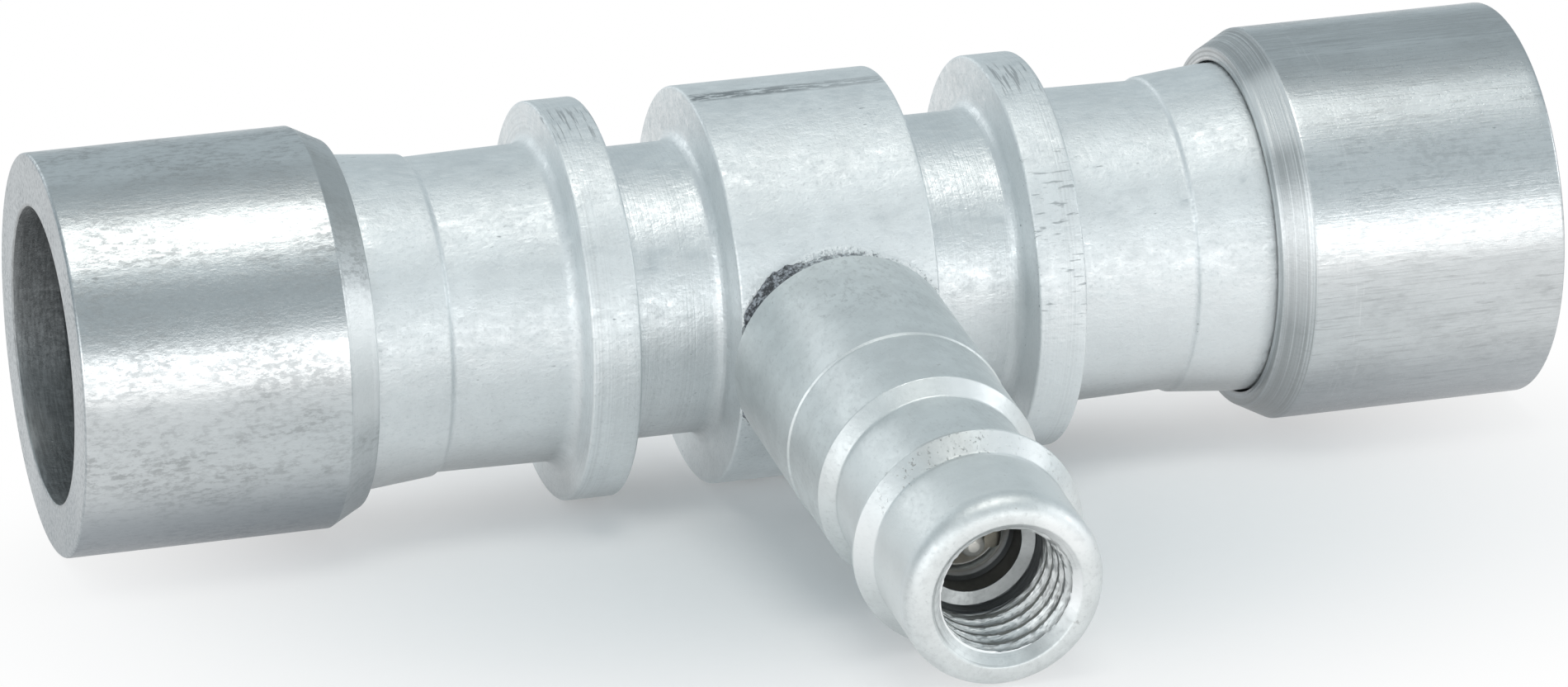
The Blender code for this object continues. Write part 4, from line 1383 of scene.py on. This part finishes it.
class COUPLING_OT_stage(bpy.types.Operator):
    """Make the floor, the lamps, the room light and the camera"""

    bl_idname = "coupling.stage"
    bl_label = "Stage"

    def execute(self, context):
        scene = context.scene
        stage = scene.coupling_stage
        half = 6.0
        corners = [(x * half, y * half, 0.0) for x, y in ((-1, -1), (1, -1), (1, 1), (-1, 1))]
        mesh = bpy.data.meshes.new("floor")
        mesh.from_pydata(corners, [], [(0, 1, 2, 3)])
        mesh.materials.append(floor_finish(stage))
        floor = bpy.data.objects.new("floor", mesh)
        scene.collection.objects.link(floor)

        lamps = (
            ("top_softbox", (0.03, -0.120, 0.62), (0.34, 0.21), 3.22, (1.0, 0.964, 0.908)),
            ("front_panel", (0.21, -0.86, 0.085), (0.75, 0.17), 2.7, (1.0, 0.99, 0.975)),
            ("left_panel", (-0.60, -0.62, 0.17), (0.80, 0.32), 2.2, (1.0, 1.0, 1.0)),
            ("right_panel", (0.76, -0.28, 0.28), (0.45, 0.30), 2.0, (1.0, 1.0, 1.0)),
            ("back_panel", (-0.42, 0.75, 0.36), (0.60, 0.45), 0.9, (1.0, 1.0, 1.0)),
        )
        target = Vector((0.0, 0.0, 0.011))
        for name, place, (width, height), radiance, colour in lamps:
            lamp = bpy.data.lights.new(name, "AREA")
            lamp.shape = "RECTANGLE"
            lamp.size = width
            lamp.size_y = height
            lamp.energy = radiance * pi * width * height
            lamp.color = colour
            holder = bpy.data.objects.new(name, lamp)
            scene.collection.objects.link(holder)
            holder.location = place
            holder.rotation_euler = (target - Vector(place)).to_track_quat("-Z", "Y").to_euler()

        world = bpy.data.worlds.new("room")
        world.use_nodes = True
        background = world.node_tree.nodes["Background"]
        background.inputs["Color"].default_value = (*stage.sky, 1.0)
        background.inputs["Strength"].default_value = 1.0
        scene.world = world

        lens = bpy.data.cameras.new("camera")
        lens.sensor_fit = "HORIZONTAL"
        lens.sensor_width = 36.0
        lens.lens = stage.camera_lens
        lens.clip_start = 0.01
        lens.clip_end = 50.0
        camera = bpy.data.objects.new("camera", lens)
        scene.collection.objects.link(camera)
        camera.location = stage.camera_place
        camera.rotation_euler = Euler(stage.camera_turn)
        scene.camera = camera
        scene.view_settings.view_transform = "Standard"
        return {"FINISHED"}


class COUPLING_PT_panel(bpy.types.Panel):
    """Lists the pieces in the order they are made in"""

    bl_idname = "COUPLING_PT_panel"
    bl_label = "Compression Coupling"
    bl_space_type = "VIEW_3D"
    bl_region_type = "UI"
    bl_category = "Coupling"

    def draw(self, context):
        column = self.layout.column()
        for operator in OPERATORS:
            column.operator(operator.bl_idname)


SETTINGS = {
    "coupling_run": CouplingRunSettings,
    "coupling_port": CouplingPortSettings,
    "coupling_core": CouplingCoreSettings,
    "coupling_finish": CouplingFinishSettings,
    "coupling_stage": CouplingStageSettings,
}
OPERATORS = (
    COUPLING_OT_stage,
    COUPLING_OT_body,
    COUPLING_OT_rings,
    COUPLING_OT_service_port,
    COUPLING_OT_braze,
    COUPLING_OT_valve_core,
    COUPLING_OT_valve_pin,
)


def register():
    for name, group in SETTINGS.items():
        bpy.utils.register_class(group)
        setattr(bpy.types.Scene, name, PointerProperty(type=group))
    for kind in (*OPERATORS, COUPLING_PT_panel):
        bpy.utils.register_class(kind)


def unregister():
    for kind in reversed((*OPERATORS, COUPLING_PT_panel)):
        bpy.utils.unregister_class(kind)
    for name, group in reversed(SETTINGS.items()):
        delattr(bpy.types.Scene, name)
        bpy.utils.unregister_class(group)


def main():
    register()
    bpy.ops.coupling.stage()
    bpy.ops.coupling.body()
    bpy.ops.coupling.rings()
    bpy.ops.coupling.service_port()
    bpy.ops.coupling.braze()
    bpy.ops.coupling.valve_core()
    bpy.ops.coupling.valve_pin()


if __name__ == "__main__":
    main()
